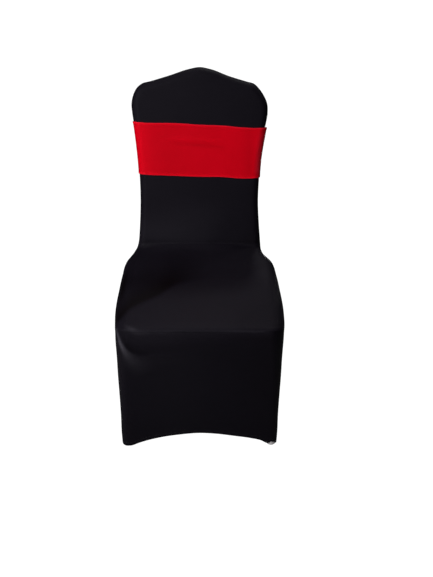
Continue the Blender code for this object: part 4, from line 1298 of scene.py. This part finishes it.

# %% [markdown]
# The cover is matt black with a very weak gloss, with painted highlights on its crests and
# painted shade in its hollows and on the rear of the seat. The sash is the same knit in red, with
# painted highlights on its turned edges and painted shade across its middle. Both get darker in the
# seams, where little light reaches.

# %% Knits
BLACK = (0.0, 0.0, 0.0, 1.0)
WHITE = (1.0, 1.0, 1.0, 1.0)
ROUGHNESS = {"least": 0.50, "uneven": 0.12}
SEAM_SHADE = 0.5  # how much of the colour a seam takes away
FUZZ_BUMP = {"distance": 0.00003, "strength": 0.6}
TWIST_SCALE = 1500.0
TWIST_SHADE = (0.7, 0.6)  # how much the twist changes the colour, and how much of it stays
TWIST_BUMP = {"distance": 0.00005, "strength": 0.7}
KNITS = {  # colours with the painted highlight and painted shade, size of a loop, scale of the patches, dark of the gaps, depth of a loop, gloss
    "black_knit": {
        "dark": (0.0074, 0.0060, 0.0098, 1.0),
        "light": (0.0108, 0.0088, 0.0142, 1.0),
        # painted highlight and painted shade colours
        "painted_highlight": (0.080, 0.074, 0.092, 1.0),
        "painted_shade": (0.0016, 0.0006, 0.0004, 1.0),
        "wale": 0.0008, "course": 0.0007, "patch": 6.0, "gap": 0.45, "bump": 0.00005, "gloss": 0.05,
    },
    "red_knit": {
        "dark": (0.72, 0.0, 0.008, 1.0),
        "light": (0.88, 0.0, 0.013, 1.0),
        # painted highlight and painted shade colours
        "painted_highlight": (0.95, 0.020, 0.045, 1.0),
        "painted_shade": (0.16, 0.0, 0.002, 1.0),
        "wale": 0.0009, "course": 0.0008, "patch": 14.0, "gap": 0.30, "bump": 0.00006, "gloss": 0.03,
    },
}
THREADS = {"black_thread": (0.010, 0.010, 0.012, 1.0), "red_thread": (0.50, 0.004, 0.010, 1.0)}


def new_material(name):
    made = bpy.data.materials.new(name)
    made.use_nodes = True
    return made, made.node_tree, made.node_tree.nodes["Principled BSDF"]


def mix_colours(tree, factor, first, second):
    return add(tree, "ShaderNodeMix", {0: factor, 6: first, 7: second}, data_type="RGBA")[2]


def bumped(tree, height, distance, strength=1.0, under=None):
    """A bump, over another one if there is one under it."""
    settings = {"Height": height, "Distance": distance, "Strength": strength}
    if under:
        settings["Normal"] = under
    return add(tree, "ShaderNodeBump", settings)[0]


def knit_material(name, looks):
    made, tree, finish = new_material(name)
    calc = partial(result, tree)
    lengths = add(tree, "ShaderNodeUVMap", uv_map="cloth")[0]
    space = add(tree, "ShaderNodeTexCoord")["Object"]
    knit = {"Vector": lengths, "Wale": looks["wale"], "Course": looks["course"]}
    loops = add(tree, "ShaderNodeGroup", knit, node_tree=LOOPS)
    tone = add(tree, "ShaderNodeGroup", {"Vector": space, "Scale": looks["patch"]}, node_tree=TONE)
    seam = add(tree, "ShaderNodeAttribute", attribute_name="seam")["Fac"]
    # The painted highlight colour is mixed in where the painted light value is above 0, and the painted
    # shade colour where it is below 0.
    strain = add(tree, "ShaderNodeAttribute", attribute_name="strain")["Fac"]
    drawn = calc("MAXIMUM", strain, 0.0)
    painted_shade = calc("MAXIMUM", calc("MULTIPLY", strain, -1.0), 0.0)
    colour = mix_colours(tree, tone["Tone"], looks["dark"], looks["light"])
    colour = mix_colours(tree, drawn, colour, looks["painted_highlight"])
    colour = mix_colours(tree, painted_shade, colour, looks["painted_shade"])
    shade = calc("MULTIPLY_ADD", loops["Gap"], -looks["gap"], 1.0)
    shade = calc("MULTIPLY", shade, calc("MULTIPLY_ADD", seam, -SEAM_SHADE, 1.0))
    loop_bump = bumped(tree, loops["Height"], looks["bump"])
    plug(tree, finish, {
        "Base Color": mix_colours(tree, shade, BLACK, colour),
        "Roughness": calc("MULTIPLY_ADD", tone["Tone"], ROUGHNESS["uneven"], ROUGHNESS["least"]),
        "Normal": bumped(tree, tone["Fuzz"], under=loop_bump, **FUZZ_BUMP),
        "Specular IOR Level": looks["gloss"],
    })
    return made


def thread_material(name, colour):
    made, tree, finish = new_material(name)
    space = add(tree, "ShaderNodeTexCoord")["Object"]
    twist = add(tree, "ShaderNodeTexNoise", {"Vector": space, "Scale": TWIST_SCALE, "Detail": 1.0})[0]
    shade = result(tree, "MULTIPLY_ADD", twist, *TWIST_SHADE)
    plug(tree, finish, {
        "Base Color": mix_colours(tree, shade, BLACK, colour),
        "Normal": bumped(tree, twist, **TWIST_BUMP),
        "Roughness": 0.55,
        "Specular IOR Level": 0.25,
    })
    return made


materials = {name: knit_material(name, looks) for name, looks in KNITS.items()}
materials.update({name: thread_material(name, colour) for name, colour in THREADS.items()})
print("knits:", ", ".join(materials))

# %% [markdown]
# The foot pockets are of pale coated cloth. A plain weave shows faintly through the coating as
# crossed ribs, and the soles are a little dirty from the floor.

# %% Pocket cloth
POCKET_PATCH = 60.0
RIB_SCALE = 420.0
RIB_BUMP = {"distance": 0.00005, "strength": 0.8}
POCKET_COLOURS = ((0.84, 0.80, 0.81, 1.0), (0.92, 0.88, 0.89, 1.0))
DIRT = (0.20, 0.19, 0.18, 1.0)
DIRT_HEIGHT = 0.004
DIRT_SHARE = 0.75


def pocket_material():
    made, tree, finish = new_material("pocket_cloth")
    calc = partial(result, tree)
    space = add(tree, "ShaderNodeTexCoord")["Object"]
    patches = {"Vector": space, "Scale": POCKET_PATCH}
    tone = add(tree, "ShaderNodeGroup", patches, node_tree=TONE)["Tone"]
    height = add(tree, "ShaderNodeSeparateXYZ", {0: space})[2]
    wave = {"Vector": space, "Scale": RIB_SCALE}
    ribs = [
        add(tree, "ShaderNodeTexWave", wave, wave_type="BANDS", bands_direction=axis)[1]
        for axis in ("X", "Y", "Z")
    ]
    weave = calc("MULTIPLY", calc("ADD", ribs[0], ribs[1]), ribs[2])
    fade = {0: height, 1: 0.0, 2: DIRT_HEIGHT, 3: DIRT_SHARE, 4: 0.0}
    sole = add(tree, "ShaderNodeMapRange", fade)[0]
    colour = mix_colours(tree, tone, *POCKET_COLOURS)
    dirt = calc("MULTIPLY", sole, tone)
    plug(tree, finish, {
        "Base Color": mix_colours(tree, dirt, colour, DIRT),
        "Normal": bumped(tree, weave, **RIB_BUMP),
        "Roughness": 0.58,
        "Specular IOR Level": 0.35,
    })
    return made


materials["pocket_cloth"] = pocket_material()
print("pocket cloth ready")

# %% [markdown]
# The path of each line is a row of the panel's own points, so the stitches lie in their furrow
# and turn with the cloth. When the tree has run, its result replaces the path as a plain mesh.

# %% Stitch lines
STITCH_RISE = 0.00012


def panel_row(panel, row):
    """One row of a panel's last grid, with the outward directions there."""
    rows, columns = panel.grids[-1][0].shape[:2]
    before = len(panel.local_of) - rows * columns
    ids = panel.local_of[before + row * columns + np.arange(columns)]
    return panel.outer[ids], panel.outward[ids]


def stitch_object(name, lines, thread, seed):
    points, outward, edges = [], [], []
    for line, out in lines:
        ids = len(points) + np.arange(len(line))
        edges += np.stack([ids[:-1], ids[1:]], axis=1).tolist()
        points += (line + out * STITCH_RISE).tolist()
        outward += out.tolist()
    path = bpy.data.meshes.new(name)
    path.from_pydata(points, edges, [])
    path.attributes.new("out", "FLOAT_VECTOR", "POINT").data.foreach_set("vector", np.ravel(outward))
    made = add_object(name, path)
    walk = made.modifiers.new("stitches", "NODES")
    walk.node_group = STITCHES
    walk[SOCKETS["Pitch"]] = STITCH_PITCH
    walk[SOCKETS["Seed"]] = seed
    walk[SOCKETS["Thread"]] = thread
    ready = made.evaluated_get(bpy.context.evaluated_depsgraph_get())
    made.data = bpy.data.meshes.new_from_object(ready)
    made.modifiers.clear()
    return made


def rows_at(places, total, distances):
    return [int(np.argmin(np.abs(total - places - distance))) for distance in distances]


hem_rows = rows_at(level_at, SKIRT_DROP, STITCH_LINES)
sash_rows = rows_at(sash_at, SASH_HEIGHT, (SASH_HEM_LINE, SASH_HEIGHT - SASH_HEM_LINE))
stitches = {}
for seed, panel in enumerate(panels[1:] + [sash]):
    rows, colour = (sash_rows, "red") if panel is sash else (hem_rows, "black")
    lines = [panel_row(panel, row) for row in rows]
    node = panel.name.removesuffix("_cloth")
    stitches[node] = stitch_object(node + "_stitches", lines, materials[colour + "_thread"], seed)
    print(stitches[node].name, len(stitches[node].data.polygons), "faces")

# %% [markdown]
# ## Floor and light
#
# The cover stands on a plain white floor. To the camera the floor and the surroundings are an
# even white with a faint shadow under the cover, but for the light that reaches the cloth they
# are dimmer, so that black cloth stays black. Soft round lights do the rest.

# %% Floor and surroundings
FLOOR_DROP = 0.0002  # below the soles
FLOOR_GREY = (0.25, 0.25, 0.25, 1.0)
FLOOR_GLOW = 1.25
FLOOR_SHARE = 0.86  # how much of the floor that the camera sees is glow
WORLD_LIGHT = 0.01


def stage_white(tree, dim, white, share, output):
    """Joins a dimmer shader and the white that only the camera sees."""
    path = add(tree, "ShaderNodeLightPath")["Is Camera Ray"]
    seen = result(tree, "MULTIPLY", path, share)
    joined = add(tree, "ShaderNodeMixShader", {0: seen, 1: dim, 2: white})[0]
    plug(tree, output, {"Surface": joined})


bpy.ops.mesh.primitive_plane_add(size=FARTHEST, location=(0.0, 0.0, -FLOOR_DROP))
floor = bpy.context.object
floor.name = "floor"
floor_paint, tree, finish = new_material("floor_paint")
plug(tree, finish, {"Base Color": FLOOR_GREY, "Roughness": 1.0, "Specular IOR Level": 0.0})
glow = add(tree, "ShaderNodeEmission", {"Color": WHITE, "Strength": FLOOR_GLOW})[0]
stage_white(tree, finish.outputs[0], glow, FLOOR_SHARE, tree.nodes["Material Output"])
floor.data.materials.append(floor_paint)

world = bpy.data.worlds.new("surroundings")
world.use_nodes = True
bpy.context.scene.world = world
tree = world.node_tree
dim = tree.nodes["Background"]
plug(tree, dim, {"Color": WHITE, "Strength": WORLD_LIGHT})
bright = add(tree, "ShaderNodeBackground", {"Color": WHITE, "Strength": 1.0})[0]
stage_white(tree, dim.outputs[0], bright, 1.0, tree.nodes["World Output"])
bpy.context.scene.view_settings.view_transform = "Standard"
print("floor and surroundings are white")

# %% Lights
LIGHTS = {  # where each stands round the cover (degrees, 0 in front), how high, how far, size, power
    "azimuth": (0.0, 330.0, 135.0, 168.0, 300.0, 325.0, 300.0, 325.0, 345.0, 160.0, 188.0),
    "elevation": (60.0, 60.0, 45.0, 55.0, 38.0, 38.0, 3.0, 3.0, 3.0, -6.0, -6.0),
    "distance": (3.0, 3.0, 3.0, 3.0, 1.7, 1.7, 1.7, 1.7, 1.7, 1.7, 1.7),
    "size": (1.0, 1.0, 0.5, 0.3, 0.7, 0.7, 0.7, 0.7, 0.7, 0.3, 0.3),
    "watts": (8.0, 13.0, 7.0, 21.0, 10.0, 5.5, 0.8, 1.3, 3.2, 6.0, 6.0),
}
AIM_HEIGHT = 0.45


def hang_light(azimuth, elevation, distance, size, watts):
    lamp = bpy.data.lights.new("soft light", "AREA")
    lamp.shape = "DISK"
    lamp.size = size
    lamp.energy = watts
    round_by, up_by = math.radians(azimuth), math.radians(elevation)
    level = math.cos(up_by) * distance
    holder = add_object("soft light", lamp)
    height = math.sin(up_by) * distance + AIM_HEIGHT
    holder.location = (math.sin(round_by) * level, -math.cos(round_by) * level, height)
    holder.rotation_euler = (math.radians(90.0) - up_by, 0.0, round_by)


for row in zip(*LIGHTS.values()):
    hang_light(*row)
print(len(LIGHTS["watts"]), "lights")

# %% [markdown]
# ## Putting each piece in place of its solid
#
# Every finished piece takes the place of its plain solid and rides on the part's one body. Stretch
# knit is cut smaller than the chair and pulled to fit, so a cut length is the worn length divided
# by the stretch.

# %% Pieces
INSIDE, SKIRT, OUTSIDE = (panel.name for panel in panels[:3])
CUT = {  # worn width and length, the share of that rectangle that is cloth, and what it lies on
    "inside_back_and_seat": (0.502, 0.899, 0.803, []),
    "front_skirt": (0.509, 0.446, 0.914, [INSIDE]),
    "outside_back": (0.441, 0.988, 0.862, [INSIDE]),
    "side_skirt_left": (0.421, 0.495, 0.760, [INSIDE, SKIRT, OUTSIDE]),
    "side_skirt_right": (0.421, 0.495, 0.760, [INSIDE, SKIRT, OUTSIDE]),
    "sash": (0.819, 0.145, 0.947, [INSIDE, OUTSIDE]),
}


def belongs(piece, nodes=()):
    """The piece rides on the part's one body, and stands for these nodes."""
    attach(piece, "root")
    if nodes:
        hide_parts(*nodes)


for node, (width, length, share, under) in CUT.items():
    cloth = cloths[node + "_cloth"]
    colour = "red" if node == "sash" else "black"
    cloth.data.materials.append(materials[colour + "_knit"])
    belongs(cloth, [node])
    sewn_on = [stitches[node]] if node in stitches else []
    for piece in sewn_on:
        belongs(piece)
for node, cup in cups.items():
    cup.data.materials.append(materials["pocket_cloth"])
    belongs(cup, [node])
